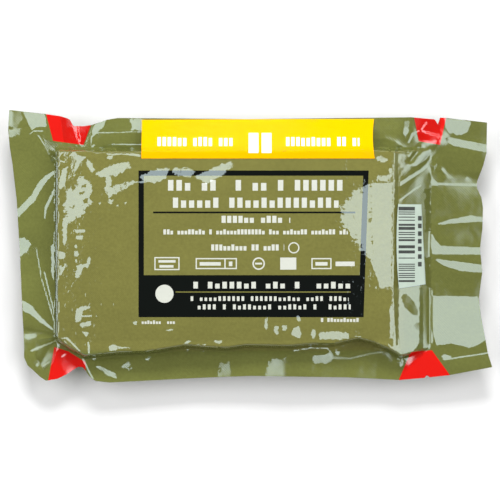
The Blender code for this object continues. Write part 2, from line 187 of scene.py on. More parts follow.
FLATS = (
    # Left fin: two bands and a wedge that fan out from the dressing, and fine lines between them
    Flat(((45, 176), (53, 171), (56, 172.3), (47.5, 180)), -18),
    Flat(((37.5, 184), (45, 176), (47.5, 180), (40, 191.7)), -18),
    Flat(((31.7, 195), (37.5, 184), (40, 191.7), (35, 201)), -18),
    Flat(((17, 210), (31.7, 195), (35, 201), (18.4, 217.5)), -18),
    Flat(((51, 194), (56.5, 183), (58, 184), (53, 196)), -18),
    Flat(((44, 219.5), (44.5, 207.5), (51, 194), (53, 196), (46.5, 210), (45.4, 219.5)), -18, 0.2),
    Flat(((22, 300), (31.7, 305), (30, 314), (23, 311)), -18),
    Flat(((31.7, 305), (39, 315), (39, 321.5), (30, 314)), -18),
    Flat(((39, 315), (53.5, 329), (52.5, 330.3), (39, 321.5)), -18),
    Flat(((35.4, 247), (36.6, 247), (42.2, 278), (40.8, 278)), -18, 0.1),
    Flat(((40.8, 278), (42.2, 278), (54.8, 321), (53.6, 322)), -18, 0.1),
    Flat(((43.5, 272), (45, 271), (54.6, 311), (54, 314)), -18, 0.1),
    Flat(((51, 246), (55, 243), (54.5, 282), (51.5, 274)), -14, 0.5),
    Flat(((18, 238), (25, 238), (31.5, 243), (29, 249), (23, 255), (18.6, 259)), -16, 1.2),
    # Top left corner
    Flat(((23.3, 112), (45, 114), (46.8, 126.8), (36, 127.3), (32, 130.5), (29.5, 126)), -14),
    Flat(((8, 110), (23, 112), (22, 120), (16, 127), (8, 127)), -10.5, 1.8),
    Flat(((8, 128.6), (21, 128.6), (20, 134), (9, 138)), -10.5, 2.2),
    Flat(((92.6, 129), (98, 121.5), (106, 119), (104, 127), (97, 132), (92.6, 136)), -13, 0.8),
    Flat(((131, 120), (143, 119), (143, 131), (132, 131)), -10.5, 2.4),
    Flat(((96, 132.3), (143, 131.4), (143, 132.5), (96, 133.5)), -14, 0.3),
    Flat(((90.7, 146), (90.7, 136.5), (96, 132.3), (97, 133.3), (92.2, 137.5), (92, 146)), -14, 0.2),
    Flat(((79, 123), (93, 123.5), (84.6, 145), (80, 144)), -36, 0.3),
    Flat(((60, 114), (69, 117), (73, 126), (78, 144), (64, 143)), 36, 0.3),
    Flat(((70, 122), (76, 127), (80, 134), (81, 143), (78.6, 140), (74, 131)), 14, 1.0),
    Flat(((26.5, 136), (34, 130.2), (44, 130.6), (44, 131.8), (35, 131.6)), -14, 0.1),
    Flat(((44, 139), (57, 143), (57, 164), (52, 163), (47, 152)), 36, 0.2),
    Flat(((34, 131.4), (40, 136.4), (46, 146), (49.6, 154), (48.4, 154.4), (44.8, 147),
          (39, 137.6)), -14, 0.1),
    Flat(((48.5, 153), (57.4, 159.6), (66, 162), (66, 163.4), (57, 161.4)), -14, 0.2),
    Flat(((57.6, 160.5), (60.5, 154), (70.5, 147.6), (71, 148.9), (62, 155), (59, 160.5)), -14, 0.1),
    Flat(((73, 147.6), (80, 149.8), (90, 147.8), (94.7, 143.5), (95.3, 145.5), (88, 151),
          (80, 151.4)), -13, 0.4),
    Flat(((99.5, 146.2), (113, 143.8), (142, 144.2), (142, 145.2), (113, 145.2)), -14, 0.2),
    Flat(((104, 154), (117, 151.8), (130, 152.8), (141, 155.6), (141, 157.3), (125, 155.2),
          (110, 155.6)), -13),
    Flat(((108.5, 157), (113.6, 155.6), (113, 160.4), (107, 159)), -13),
    # Left end of the dressing
    Flat(((79, 155), (87.4, 157), (81.5, 163), (76, 173), (74.6, 171)), -14),
    Flat(((87.5, 160), (91, 161), (95.4, 170), (92.5, 173), (88, 167)), -12, 0.9),
    Flat(((64, 169), (68.5, 167), (67.4, 178), (66, 186), (62, 189.8), (59.5, 188), (61, 178)), -14, 0.8),
    Flat(((72, 184), (80, 177), (87, 179), (91.4, 188), (92, 203), (84, 215), (67, 224), (65, 205),
          (69, 193)), -11.5, 2.6),
    Flat(((63.4, 220), (69, 216), (67.2, 246), (64.4, 247)), -13, 0.9),
    Flat(((73, 181), (77, 178.6), (79, 182), (76.4, 190), (72.6, 191), (71.6, 186)), 0, 0.8),
    Flat(((82, 186), (87.4, 184.4), (86.4, 187.2), (82.4, 188.6)), 0, 0.8),
    Flat(((79.6, 193), (86.4, 191.4), (85, 194.2), (80.6, 195.6)), 0, 0.8),
    Flat(((84, 200), (89.4, 197.6), (88.4, 203.4), (85, 204.4)), 0, 0.8),
    Flat(((70, 207), (76, 206), (74, 209.4)), 0, 0.6),
    Flat(((116, 206), (119.6, 205), (118.8, 208.4)), -13, 0.3),
    Flat(((124, 203), (127.6, 202.2), (126.4, 205.8)), -13, 0.3),
    Flat(((99, 203), (102, 202.6), (101, 205.4)), -13, 0.3),
    Flat(((97, 174), (103, 170), (114, 165.5), (124, 162.5), (131, 164), (130, 168.5), (118, 175),
          (103, 178)), -12.5, 1.6),
    Flat(((107, 177), (111.8, 177), (113, 191), (107, 190)), -13, 0.9),
    Flat(((106, 188), (114, 186.6), (122, 184), (134, 181), (134, 183.4), (120, 192.6), (110, 197),
          (106.4, 193)), -12.5, 1.4),
    Flat(((109, 199), (115, 200.6), (112, 204.6), (108, 203)), -12, 0.9),
    Flat(((57.5, 253.4), (60, 251.4), (66.8, 252.4), (66, 258.6), (60.4, 259)), -13, 0.3),
    Flat(((59, 265.6), (62, 264.4), (63.4, 267), (67, 263.4), (67.8, 265.6), (64.6, 271), (61, 275.4),
          (59.8, 274.4), (62, 269.6)), -13, 0.5),
    Flat(((75, 229.4), (86.4, 229.6), (86, 232.6), (77, 233)), -13, 0.3),
    Flat(((77, 236), (84, 235.6), (83.6, 239.6), (77, 239.4)), -13, 0.3),
    Flat(((75.4, 244.6), (78.6, 244.6), (78.4, 248.4), (75.6, 248.4)), -13, 0.3),
    Flat(((75, 251), (79, 251), (79, 256), (75.4, 256.2)), -13, 0.3),
    Flat(((76, 259), (78.4, 259), (78.2, 262.6), (76.2, 262.4)), -13, 0.3),
    Flat(((88.6, 258), (91, 256.6), (91.8, 264), (88, 267.6), (84.4, 267.2), (82.4, 272), (80, 277.6),
          (75.8, 277), (77.6, 271), (78, 265.2), (83, 263.8), (87.4, 263.2)), -13, 0.8),
    Flat(((77, 311), (81, 306), (91, 305.6), (91, 307.6), (84, 311), (81, 321), (76, 322)), -13, 0.9),
    Flat(((82, 315), (93, 314.8), (93, 316.2), (82, 317)), -13, 0.4),
    Flat(((80.5, 323), (92.5, 321), (91.4, 325), (82, 327.2)), -13, 0.8),
    Flat(((83, 331), (90, 332), (87, 336.6)), -13, 0.3),
    Flat(((109.6, 346), (114, 343.5), (119, 346), (131, 346.8), (131, 347.8), (118, 348.2), (114, 351.4),
          (110, 350)), -13, 0.4),
    Flat(((55.0, 163), (58.8, 163), (58.8, 337), (55.0, 337)), 44, 0.1),
    # Across the top of the printed frame
    Flat(((140, 178), (148, 173), (162, 169.2), (169, 169.6), (168, 176), (163, 181), (153, 183.4),
          (145, 181.4)), -12.5, 1.5),
    Flat(((172, 169), (190, 169.4), (196, 173), (190, 177.6), (176, 176.4)), -12, 1.6),
    Flat(((195, 177), (204, 173), (212, 168.5), (222, 164.6), (232, 162.6), (234.4, 166), (227, 172),
          (216, 179.6), (207, 184), (200, 181)), -12.5, 1.1),
    Flat(((128, 182), (150, 181.8), (150, 183), (128, 183.2)), -13, 0.5),
    # Along the bottom of the dressing
    Flat(((133, 322), (138, 320), (137, 325)), -13, 0.4),
    Flat(((166, 330), (173, 327.6), (176.4, 329), (170, 331)), -13, 0.5),
    Flat(((181, 345), (188, 340), (193, 340), (184, 345.6)), -13, 0.5),
    Flat(((196, 343.8), (207, 343.6), (207, 344.8), (196, 345.2)), -13, 0.3),
    Flat(((213, 340.4), (222, 339.6), (221, 343.6), (216, 343)), 13, 0.7),
    Flat(((264, 325), (265.6, 316), (267.4, 316), (267.6, 328), (265.6, 329.6)), 13, 0.5),
    Flat(((295.6, 315), (299, 315), (301, 321), (297.6, 321)), 13, 0.4),
    Flat(((274, 326), (279, 324.6), (277.6, 335), (274.2, 333)), 13, 0.8),
    Flat(((282, 325.4), (286.4, 325), (286, 330.6), (282.4, 330.6)), 13, 0.7),
    Flat(((291, 334), (293, 328), (298, 325.6), (300.6, 330), (300, 337.6), (296, 336.8)), 13, 0.7),
    Flat(((310.4, 334), (312, 328.8), (314.6, 329.4), (315.4, 335), (313, 339.6)), 13, 0.4),
    Flat(((318, 331), (348, 331.6), (348.6, 338.6), (319, 338.8)), 13, 1.0),
    Flat(((352, 335.4), (376, 337), (376, 339.2), (360, 338.4)), 13, 0.4),
    Flat(((375, 335), (380, 332.2), (385.6, 334), (386, 340), (376, 339)), 13, 0.6),
    # Right end of the dressing: calm film first, then its flats
    Flat(((352, 150), (391.4, 150), (391.4, 176), (352, 182)), -5, 1.5),
    Flat(((360, 289), (391.6, 289), (392, 346), (360, 346)), -6, 2.0),
    Flat(((370, 183.6), (391.4, 183), (390.6, 286), (380, 288), (370, 262), (362, 235),
          (362, 200)), 11.5, 0.7),
    Flat(((341, 207), (356, 192), (371, 184), (373, 262), (353, 238), (340, 222)), 11.5, 4.6),
    Flat(((376, 176.6), (391, 175), (391, 181.6), (378, 182)), 11.5, 2.2),
    Flat(((375, 158), (380, 156.4), (387.4, 160), (384, 162.8), (377, 161.6)), 12.5, 0.8),
    Flat(((388, 168.6), (391.6, 168.6), (391.6, 174.4), (388.4, 174)), 12.5, 0.8),
    Flat(((389, 305), (391.8, 305), (392.6, 338), (389.4, 338)), 13, 0.9),
    Flat(((392.2, 165), (393.6, 165), (393.6, 256), (392.2, 256)), 13, 0.7),
    # Right slope: one long flat under the label with two hollows in it, and a dark line over it
    Flat(((398, 287), (419.6, 285), (421, 311), (421.4, 337), (418, 343), (413, 351), (404, 360),
          (400.4, 362.6), (397.6, 330)), -12, 0.5),
    Flat(((400, 297), (403, 293.6), (408, 294.6), (414, 302), (418, 311), (417, 315.6), (411, 314),
          (404, 308)), 0, 0.2),
    Flat(((412.6, 325.6), (416, 322), (423, 322.6), (422, 328.6), (416, 329.6)), 0, 0.2),
    Flat(((394, 150), (397.4, 150), (398, 290), (397.2, 345), (395.4, 345), (392.4, 290),
          (393.8, 260)), 40, 0.2),
    # Gusset at the top right corner, with bright bands across it
    Flat(((412, 116), (441, 116), (440, 136), (437, 141), (418.6, 141)), 38, 0.2),
    Flat(((420.4, 129.2), (426, 121.8), (427.6, 122.6), (422, 130.6)), 0, 0.1),
    Flat(((421.4, 130), (440.8, 135.6), (440.4, 137.6), (421.4, 132.1)), 0, 0.1),
    Flat(((403, 134), (405, 121.4), (409.4, 120), (408.6, 131), (405, 138.6)), 12, 0.6),
    Flat(((411.5, 133), (419.5, 129.5), (420.4, 131.2), (413.5, 134.8), (409.5, 143.4),
          (407.4, 143)), 13, 0.2),
    Flat(((406, 154), (409, 149), (421, 141), (424, 143), (413, 151), (408.6, 158)), -12, 0.4),
    Flat(((421, 141.5), (437, 140.5), (434, 150), (422, 151)), -12, 0.5),
    Flat(((422, 151), (434, 150), (425, 160.4), (418, 158)), -12, 0.3),
    Flat(((418, 157.6), (425, 160), (415, 166.6), (406, 165.6)), -12, 0.3),
    Flat(((399, 182.4), (410, 175.6), (420, 169.8), (421.4, 172.6), (410, 179.6), (399, 187)), -12, 0.3),
    Flat(((420, 169.8), (430, 160), (431, 163.4), (421.4, 172.6)), -12, 0.2),
    Flat(((430, 158), (438.5, 145), (440, 147), (431, 164)), 8, 0.3),
    Flat(((398, 200), (414, 188.5), (421, 184.4), (421.6, 186), (414, 190.6), (398.6, 202.6)), -12, 0.2),
    # Right fin
    Flat(((445.5, 118), (462, 120), (471, 122), (467, 133), (458, 135), (448, 132), (445, 127)), 18, 0.9),
    Flat(((444.4, 137.5), (450, 137.4), (488, 145), (488, 153), (470, 149.2), (454, 146),
          (447, 142)), 18, 0.3),
    Flat(((428.5, 171), (431.5, 176), (438, 183), (438, 186), (430, 185.4), (427, 181)), 18, 0.4),
    Flat(((433, 182.6), (478, 183.4), (478, 186.4), (433, 185.0)), 18, 0.2),
    Flat(((437, 224), (448, 220), (470, 215.5), (484, 217.2), (484, 221.6), (458, 223),
          (438, 225)), 18, 0.4),
    Flat(((431.5, 233), (435, 239), (442, 247), (442, 254.4), (432, 254), (430.6, 245)), 18, 0.4),
    Flat(((436, 245.6), (483, 247.6), (483, 254.6), (436, 254.4)), 18, 0.3),
    Flat(((433, 258.4), (484, 265), (484, 272.8), (462, 271.3), (444, 266)), 18, 0.3),
    Flat(((430.5, 295.4), (478, 296.8), (488, 338), (478, 345), (468, 347.6), (452, 343.4), (437, 345.4),
          (431, 329)), 18, 0.5),
    Flat(((441, 356.4), (444, 354), (451, 355.8), (452, 358.4), (444, 359.8)), 18, 0.3),
    Flat(((442, 359.2), (488, 352.2), (488.6, 353.6), (444, 360.4)), 18, 0.2),
    Flat(((424.5, 188), (431, 188), (431, 232), (425.5, 232)), 36, 1.6),
    Flat(((424.5, 256), (431, 258), (431, 288), (425.5, 286)), 36, 1.6),
    Flat(((419.6, 288), (423, 288), (423, 356), (404, 364), (413, 352), (419, 342)), 36, 0.6),
    # Bottom left corner
    Flat(((37, 340), (55, 337), (57.5, 346), (54, 362), (44, 370), (35, 356)), 36, 0.3),
    Flat(((29.6, 351), (36, 347.4), (47, 343.9), (56, 339.9), (56.4, 340.9), (47, 344.9), (38, 349.4),
          (32, 351.6)), -14, 0.2),
    Flat(((41, 366.4), (48, 361.8), (50.0, 361.6), (44, 366.6)), -14, 0.1),
    Flat(((34, 364), (35, 361.4), (38.4, 361), (38.4, 362.4), (36.4, 363), (35.8, 366)), -14, 0.1),
    Flat(((25, 334), (35, 333.6), (38, 336), (30, 339.6), (25, 339)), -10, 0.6),
    Flat(((56.4, 338.6), (67, 336.6), (69, 337), (81.6, 350.6), (80.6, 351.4), (67, 338.4)), -14, 0.2),
    Flat(((57.4, 341), (70.8, 348.6), (84, 355.8), (83.4, 357.2), (70.8, 350.6)), -14, 0.3),
    Flat(((60.4, 356.6), (65, 353.4), (66.8, 354.4), (62, 357.8)), -14, 0.2),
    Flat(((88.4, 337), (90.8, 345.3), (90.4, 353.9), (84, 357.6), (83.4, 356.4), (88.8, 353)), -14, 0.2),
    Flat(((81, 357), (83.4, 357.6), (94, 379), (91.6, 378)), 13, 0.2),
    # Bottom flange
    Flat(((95.6, 366), (101, 366.2), (115.6, 373.6), (116.6, 378.4), (108, 375.6)), -14, 0.6),
    Flat(((122, 366.6), (127, 361), (131.6, 360.4), (130.4, 368), (125, 370)), -12, 2.2),
    Flat(((145, 359.4), (149, 356), (152.4, 356.4), (147, 361)), -13, 0.5),
    Flat(((218, 377), (221, 364), (230, 362), (231, 377)), -8.4, 2.6),
    Flat(((265, 377), (268, 363), (276, 359), (290, 359), (292, 377)), -10.4, 2.2),
    Flat(((312.4, 356), (330, 353.4), (334, 357.6), (328, 363), (314, 364)), -16, 1.0),
    Flat(((293, 350), (311, 347), (328, 347.8), (328, 349), (311, 348.4), (294, 351.4)), -14, 0.2),
    Flat(((328, 347.8), (334.6, 356), (350, 357.8), (349.6, 359.4), (334, 359), (327.4, 349)), -14, 0.2),
    Flat(((349.6, 357.8), (370, 352.8), (388, 351), (388, 352.4), (370, 354.6), (350, 359.4)), -14, 0.2),
)

# The film's point values that its finish reads: depth in a flat, its lean, how ragged it is
FLAT_FIELDS = ("flat_depth", "flat_lean", "flat_ragged")

# How far round a flat its values are kept, in pixels
FLAT_REACH = 8.0

class Row(NamedTuple):
    """A row of plain print blocks, in pixels, with its pitch, fill and share of gaps."""

    left: float
    right: float
    top: float
    bottom: float
    pitch: float
    seed: float
    fill: float = 0.74
    gaps: float = 0.12
    low: float = 0.72


FILM_ROWS = (
    Row(167, 343, 180.4, 191.0, 8.4, 1, 0.64, 0.16),
    Row(172, 338, 198.0, 208.0, 8.0, 4, 0.64, 0.16),
    Row(221, 290, 216.0, 223.0, 5.6, 3),
    Row(160, 347, 229.5, 234.5, 3.5, 5),
    Row(211, 284, 244.5, 250.5, 4.0, 6),
    Row(178, 350, 281.6, 288.2, 7.2, 7, 0.62, 0.2),
    Row(190, 348, 296.0, 300.6, 4.6, 9, 0.56, 0.2),
    Row(192, 350, 304.0, 309.0, 5.0, 8, 0.56, 0.2),
    Row(142, 176, 320.0, 323.5, 2.8, 2),
    Row(320, 358, 317.5, 321.5, 3.2, 11),
)
BAND_ROWS = (
    Row(157, 233, 137.5, 146.5, 5.1, 3, 0.66, 0.10, 0.9),
    Row(247, 272, 131.0, 153.5, 13.0, 2, 0.76, 0.0, 0.9),
    Row(285, 359, 137.5, 146.5, 5.1, 6, 0.66, 0.10, 0.9),
)


class Box(NamedTuple):
    """A box of pixels."""

    left: float
    top: float
    right: float
    bottom: float


class Ring(NamedTuple):
    """A ring of pixels. A line as wide as the radius makes it a disc."""

    px: float
    py: float
    radius: float
    line: float


# The black frame round the print with the black band in it, its right side, and its two rules
FRAME_OUTSIDE = Box(139.2, 171.0, 380, 316.8)
FRAME_INSIDE = Box(144.5, 176.2, 380, 275.0)
FRAME_RIGHT_OUTSIDE = ((362.8, 320), (368.2, 165))
FRAME_RIGHT_INSIDE = ((357.4, 320), (362.9, 165))
BLACK_RULE = Box(153.7, 211.8, 354.8, 213.6)
OLIVE_RULE = Box(176, 291.2, 350, 292.3)

# Small plain marks in white
MARK_LINE = 1.2
MARK_FRAMES = (Box(155, 257, 180, 270), Box(196, 258, 237, 269), Box(311, 258, 331, 269))
MARK_BOXES = (
    Box(159, 260, 176, 262.5), Box(160, 265, 174, 267.5), Box(224.5, 258, 225.8, 269),
    Box(200, 262, 221, 265.5), Box(229, 261.5, 232.5, 266), Box(255, 262.6, 262, 264.4),
    Box(280, 257.5, 296, 269.5), Box(315, 262, 327, 265.5), Box(335, 261.5, 354, 266),
)
MARK_RINGS = (Ring(258.6, 263.5, 6.2, 1.4), Ring(293.5, 247.8, 5.6, 1.2), Ring(165.0, 293.5, 9.0, 9.0))


class Patch(NamedTuple):
    """A red corner patch: lines that it lies to the left of, and the quarter of the pack."""

    lines: tuple
    east: bool
    north: bool


CORNER_PATCHES = (
    Patch((((53.1, 141), (83.5, 145)), ((83.5, 145), (93, 120)), ((45, 110), (53.1, 141))), False, True),
    Patch((((413, 112), (419, 143)), ((417, 141), (441, 145)), ((440, 145), (447, 114))), True, True),
    Patch((((86, 362.4), (68.5, 351.4)), ((68.5, 351.4), (54, 346.8)), ((54.5, 346), (47.5, 384)),
           ((85.6, 384), (85.6, 345.6)), ((85.6, 345.6), (45, 345.6))), False, False),
    Patch((((411, 351.5), (397, 384)), ((434, 350), (409, 352)), ((452, 378), (431, 349))), True, False),
)

# The labels' corners, from the top left one clockwise, and the print on the code label
BAND_CORNERS = ((142, 120), (374, 119), (374, 159), (142, 159))
CODE_CORNERS = ((397.3, 204.5), (421.2, 204.5), (425.5, 284.2), (398.2, 288.1))
BARS = Box(397.8, 207, 414.5, 284)
TICKS = Box(417.6, 214, 421.4, 268)
BAR_PITCH = 0.00040
TICK_PITCH = 0.0030

# What of the film lies on the dressing
DRESSING = Box(56, 149, 414, 352)

# How high the film's fine bumps are: the cloth's threads under it, its crumple, what is pressed in
THREAD_RISE = 0.00004
CRUMPLE_RISE = 0.00015
PRESSED_RISE = 0.00024

# Room between the folds of the wrap, and between the wrap and the film
FOLD_GAP = 0.00025
FILM_ROOM = 0.0004

# The film's grid: how fine its lines are, from one share of the length or width to the next
LENGTH_LINES = ((0.0, 0.17, 66), (0.17, 0.30, 44), (0.30, 0.62, 64), (0.62, 0.76, 50), (0.76, 1.0, 112))
WIDTH_LINES = ((0.0, 0.17, 44), (0.17, 0.30, 26), (0.30, 0.70, 54), (0.70, 0.84, 30), (0.84, 1.0, 40))


def length(name, description, default, low, high):
    """A length property, in metres, with its range."""
    return FloatProperty(
        name=name, description=description, default=default, min=low, max=high, unit="LENGTH",
    )


def colour(name, description, default):
    """A colour property, linear, with its usual range."""
    return FloatVectorProperty(
        name=name, description=description, default=default, size=3, min=0.0, max=1.0, subtype="COLOR",
    )


class PackSizes(PropertyGroup):
    """The sizes of the pack that a user may change."""

    film_wall: length("Film thickness", "Thickness of each web of the pouch", 0.00024, 0.0001, 0.0008)
    web_gap: length("Web gap", "Gap between the two webs along the seal", 0.00006, 0.00002, 0.0004)
    top_height: length(
        "Pack height", "Height of the printed face over the table", FRONT_HIGH.z - 0.0003, 0.012, 0.03,
    )
    seal_height: length(
        "Seal height", "Height of the sealed margins over the table", 0.0105, 0.002, 0.018,
    )
    fin_droop: length("Right fin droop", "How far the wide end fin hangs at its edge", 0.0, 0.0, 0.008)
    end_roll: length(
        "End roll", "How far from its ends the dressing starts to fall away", 0.0200, 0.004, 0.03,
    )
    end_drop: length("End drop", "How much the dressing falls away at its ends", 0.0011, 0.0, 0.006)
    side_roll: length(
        "Side roll", "How far from its sides the dressing starts to fall away", 0.0120, 0.004, 0.02,
    )
    side_drop: length("Side drop", "How much the dressing falls away at its sides", 0.0012, 0.0, 0.004)
    crumple: length("Crumple", "Height of the film's fine crumpling", 0.00004, 0.0, 0.0003)
    label_wall: length("Label thickness", "Thickness of the stuck-on labels", 0.00012, 0.00005, 0.0005)
    label_gap: length("Label gap", "Gap kept under the stuck-on labels", 0.00008, 0.00003, 0.0004)
    wrap_cloth: length(
        "Wrap thickness", "Thickness of one layer of the elastic wrap", 0.0011, 0.0006, 0.003,
    )


class PackColours(PropertyGroup):
    """The colours of the pack that a user may change."""

    film: colour("Film", "Olive of the film over the dressing", (0.180, 0.174, 0.046))
    margin: colour("Margin", "Olive of the film's bare margins", (0.156, 0.170, 0.044))
    corner: colour("Corner patch", "Red of the printed corner patches", (0.70, 0.010, 0.006))
    ink: colour("Dark print", "Black of the printed frame and band", (0.004, 0.005, 0.004))
    print: colour("Light print", "White of the printed rows and marks", (0.62, 0.64, 0.57))
    band: colour("Band label", "Yellow of the band label", (0.90, 0.50, 0.0))
    # The band label's lower part, on the dressing, takes this darker yellow as painted shade.
    band_painted_shade: colour("Band label, low", "Yellow of the band label on the dressing", (0.90, 0.42, 0.0))
    label: colour("Code label", "White of the bar label", (0.44, 0.53, 0.45))
    gauze: colour("Elastic wrap", "Olive of the wrap's weave", (0.23, 0.22, 0.12))
    cotton: colour("Pad", "White of the pad's cotton", (0.80, 0.79, 0.74))


def sizes():
    """The sizes in use."""
    return bpy.context.scene.pack_sizes


def colours():
    """The colours in use."""
    return bpy.context.scene.pack_colours


def at_pixel(px, py):
    """X and Y of a place in the photograph."""
    return (px - MIDDLE[0]) * PIXEL, (MIDDLE[1] - py) * PIXEL


def smooth(share):
    """0 to 1 with a level start and end."""
    share = np.clip(share, 0.0, 1.0)
    return share * share * (3.0 - 2.0 * share)


def eased(table, at):
    """The values of a table of (place, value) rows, eased from one row to the next."""
    places, values = np.array(sorted(table), float).T
    row = np.clip(np.searchsorted(places, at) - 1, 0, len(places) - 2)
    share = smooth((at - places[row]) / (places[row + 1] - places[row]))
    return values[row] + (values[row + 1] - values[row]) * share


def wander(x, y, size, seed):
    """Smooth noise from -1 to 1 with blobs of about the given size, the same at every run."""
    lattice = np.random.default_rng(seed).uniform(-1.0, 1.0, (64, 64))
    across, along = x / size + 31.3, y / size + 17.7
    i, j = np.floor(across).astype(int), np.floor(along).astype(int)
    s, t = smooth(across - i), smooth(along - j)
    near = lattice[i % 64, j % 64] * (1 - s) + lattice[(i + 1) % 64, j % 64] * s
    far = lattice[i % 64, (j + 1) % 64] * (1 - s) + lattice[(i + 1) % 64, (j + 1) % 64] * s
    return near * (1 - t) + far * t


def crumpled(x, y, size, seed, turns=5):
    """Heights from -1 to 1 of a sheet creased into small flats in several directions."""
    rise = 0.0
    for turn in range(turns):
        angle = seed + turn * 2.39996
        run = (x * math.cos(angle) + y * math.sin(angle)) / (size * (0.8 + 0.17 * turn))
        run = run + 0.9 * wander(x, y, size * 2.6, seed * 10 + turn)
        share = run - np.floor(run)
        rise = rise + np.abs(2.0 * share - 1.0) * 2.0 - 1.0
    return rise / turns


def fold_relief(x, y, folds):
    """The height that a table of folds adds at each place."""
    relief = np.zeros_like(x)
    for fold in folds:
        corners = [np.array(at_pixel(*point)) for point in fold.path]
        runs = [math.dist(a, b) for a, b in zip(corners, corners[1:])]
        ends = np.concatenate([[0.0], np.cumsum(runs)]) / sum(runs)
        near = np.full_like(x, 1e9)
        along = np.zeros_like(x)
        for a, b, start, end in zip(corners, corners[1:], ends, ends[1:]):
            way = b - a
            share = ((x - a[0]) * way[0] + (y - a[1]) * way[1]) / way.dot(way)
            share = np.clip(share, 0.0, 1.0)
            away = np.hypot(x - a[0] - way[0] * share, y - a[1] - way[1] * share)
            closer = away < near
            near = np.where(closer, away, near)
            along = np.where(closer, start + (end - start) * share, along)
        rise = np.interp(along, np.linspace(0.0, 1.0, len(fold.rises)), fold.rises) * MM
        away = near / (fold.width * MM)
        tip = 0.25
        shape = np.exp(tip - np.hypot(away, tip)) if fold.sharp else np.exp(-away * away)
        relief += rise * shape
    return relief


def depth_in(corners, px, py):
    """How far inside a run of corners each pixel lies, or minus how far outside it."""
    near = np.full_like(px, 1e9)
    inside = np.zeros(px.shape, bool)
    for (x0, y0), (x1, y1) in zip(corners, corners[1:] + corners[:1]):
        share = ((px - x0) * (x1 - x0) + (py - y0) * (y1 - y0)) / ((x1 - x0) ** 2 + (y1 - y0) ** 2)
        share = np.clip(share, 0.0, 1.0)
        near = np.minimum(near, np.hypot(px - x0 - (x1 - x0) * share, py - y0 - (y1 - y0) * share))
        if y0 != y1:
            crossing = x0 + (x1 - x0) * (py - y0) / (y1 - y0)
            inside ^= ((y0 > py) != (y1 > py)) & (px < crossing)
    return np.where(inside, near, -near)


def flat_fields(x, y):
    """How far inside the leaning flats each place lies, in pixels, and their lean and raggedness."""
    px, py = pixels_of(x, y)
    fields = np.zeros((3, *x.shape))
    fields[0] = -FLAT_REACH - 1.0
    for flat in FLATS:
        left, top = np.min(flat.corners, axis=0) - FLAT_REACH
        right, bottom = np.max(flat.corners, axis=0) + FLAT_REACH
        close = (px > left) & (px < right) & (py > top) & (py < bottom)
        depth = depth_in(flat.corners, px[close], py[close])
        held = fields[:, close]
        values = np.stack([depth, np.full_like(depth, math.tan(math.radians(flat.lean))),
                           np.full_like(depth, flat.ragged)])
        fields[:, close] = np.where((depth > 0.0) | (depth > held[0]), values, held)
    return fields


def foot_line(table, along):
    """A coordinate of the foot of a wall, from its (px, py) line, in pixels."""
    return np.interp(along, *np.array(sorted(table), float).T)


def pixels_of(x, y):
    """The photograph's pixels of each place."""
    return x / PIXEL + MIDDLE[0], MIDDLE[1] - y / PIXEL


def held_by(x, y):
    """1 over the dressing, easing to 0 at the foot of the film walls."""
    px, py = pixels_of(x, y)
    left = (foot_line(LEFT_FOOT, py) - px) / LEFT_RUN + 1.0
    right = (px - foot_line(RIGHT_FOOT, py)) / RIGHT_RUN + 1.0
    top = (foot_line(TOP_FOOT, px) - py) / TOP_RUN + 1.0
    bottom = (py - foot_line(BOTTOM_FOOT, px)) / BOTTOM_RUN + 1.0
    out_x, out_y = np.maximum(np.maximum(left, right), 0.0), np.maximum(np.maximum(top, bottom), 0.0)
    share = np.clip(np.hypot(out_x, out_y), 0.0, 1.0)
    straight = 1.0 - share
    curved = 1.0 - smooth(share)
    slope = np.clip(right * 30.0, 0.0, 1.0) * np.clip(1.0 - 2.0 * out_y, 0.0, 1.0)
    return curved + (straight - curved) * slope


def rolled(off, roll, drop):
    """The drop of the dressing's top, off from where it starts to fall, over a roll's length."""
    share = np.clip(off / roll, 0.0, 1.0)
    return drop * share * np.sqrt(share)


def dressing_top(x, y):
    """Height of the printed face over the dressing, before its creases."""
    size = sizes()
    left = rolled(WRAP_LOW.x + size.end_roll - x, size.end_roll, size.end_drop)
    right = rolled(x - WRAP_HIGH.x + size.end_roll, size.end_roll, size.end_drop)
    side = rolled(np.abs(y) - WRAP_HIGH.y + size.side_roll, size.side_roll, size.side_drop)
    return size.top_height - left - right - side


def seal_middle(x, y, held):
    """Height between the two webs, with the ripple and the folds of the sealed margins."""
    size = sizes()
    px, py = pixels_of(x, y)
    up = smooth(y / (WRAP_HIGH.y + 0.017))
    aside = smooth(np.abs(x) / (WRAP_HIGH.x + 0.0145))
    height = size.seal_height + 0.0020 * up * (1.0 - aside)
    left_share = np.clip((56.0 - px) / 36.0, 0.0, 1.2) ** 1.8
    right_share = np.clip((px - 427.0) / 50.0, 0.0, 1.1)
    height += eased(LEFT_RIPPLE, py) * MM * left_share
    height += eased(RIGHT_RIPPLE, py) * MM * right_share
    height -= size.fin_droop * right_share
    loose = np.sqrt(1.0 - held)
    return height + fold_relief(x, y, BROAD_FOLDS) * loose


def crease_relief(x, y, held):
    """The sharp creases and the crumpling, which the front web shows."""
    px, py = pixels_of(x, y)
    amount = sizes().crumple
    corner = smooth((np.hypot((px - 228) / 175, (py - 246.75) / 98) - 0.93) / 0.2)
    end = smooth((np.abs(px - 228) - 118) / 50)
    loose = 1.0 - held
    calm = held * (0.6 + 0.35 * end) + loose * (0.35 + 0.5 * corner)
    relief = amount * calm * crumpled(x, y, 4.6 * MM, 1)
    relief += amount * 0.55 * calm * crumpled(x, y, 2.1 * MM, 2)
    relief += amount * 1.6 * (0.5 + corner + 0.4 * end) * wander(x, y, 9 * MM, 3)
    return relief + fold_relief(x, y, CREASES)


def front_height(x, y):
    """Height of the front web's printed face."""
    held = held_by(x, y)
    seal = seal_middle(x, y, held) + sizes().web_gap / 2 + sizes().film_wall
    return seal + (dressing_top(x, y) - seal) * held + crease_relief(x, y, held)


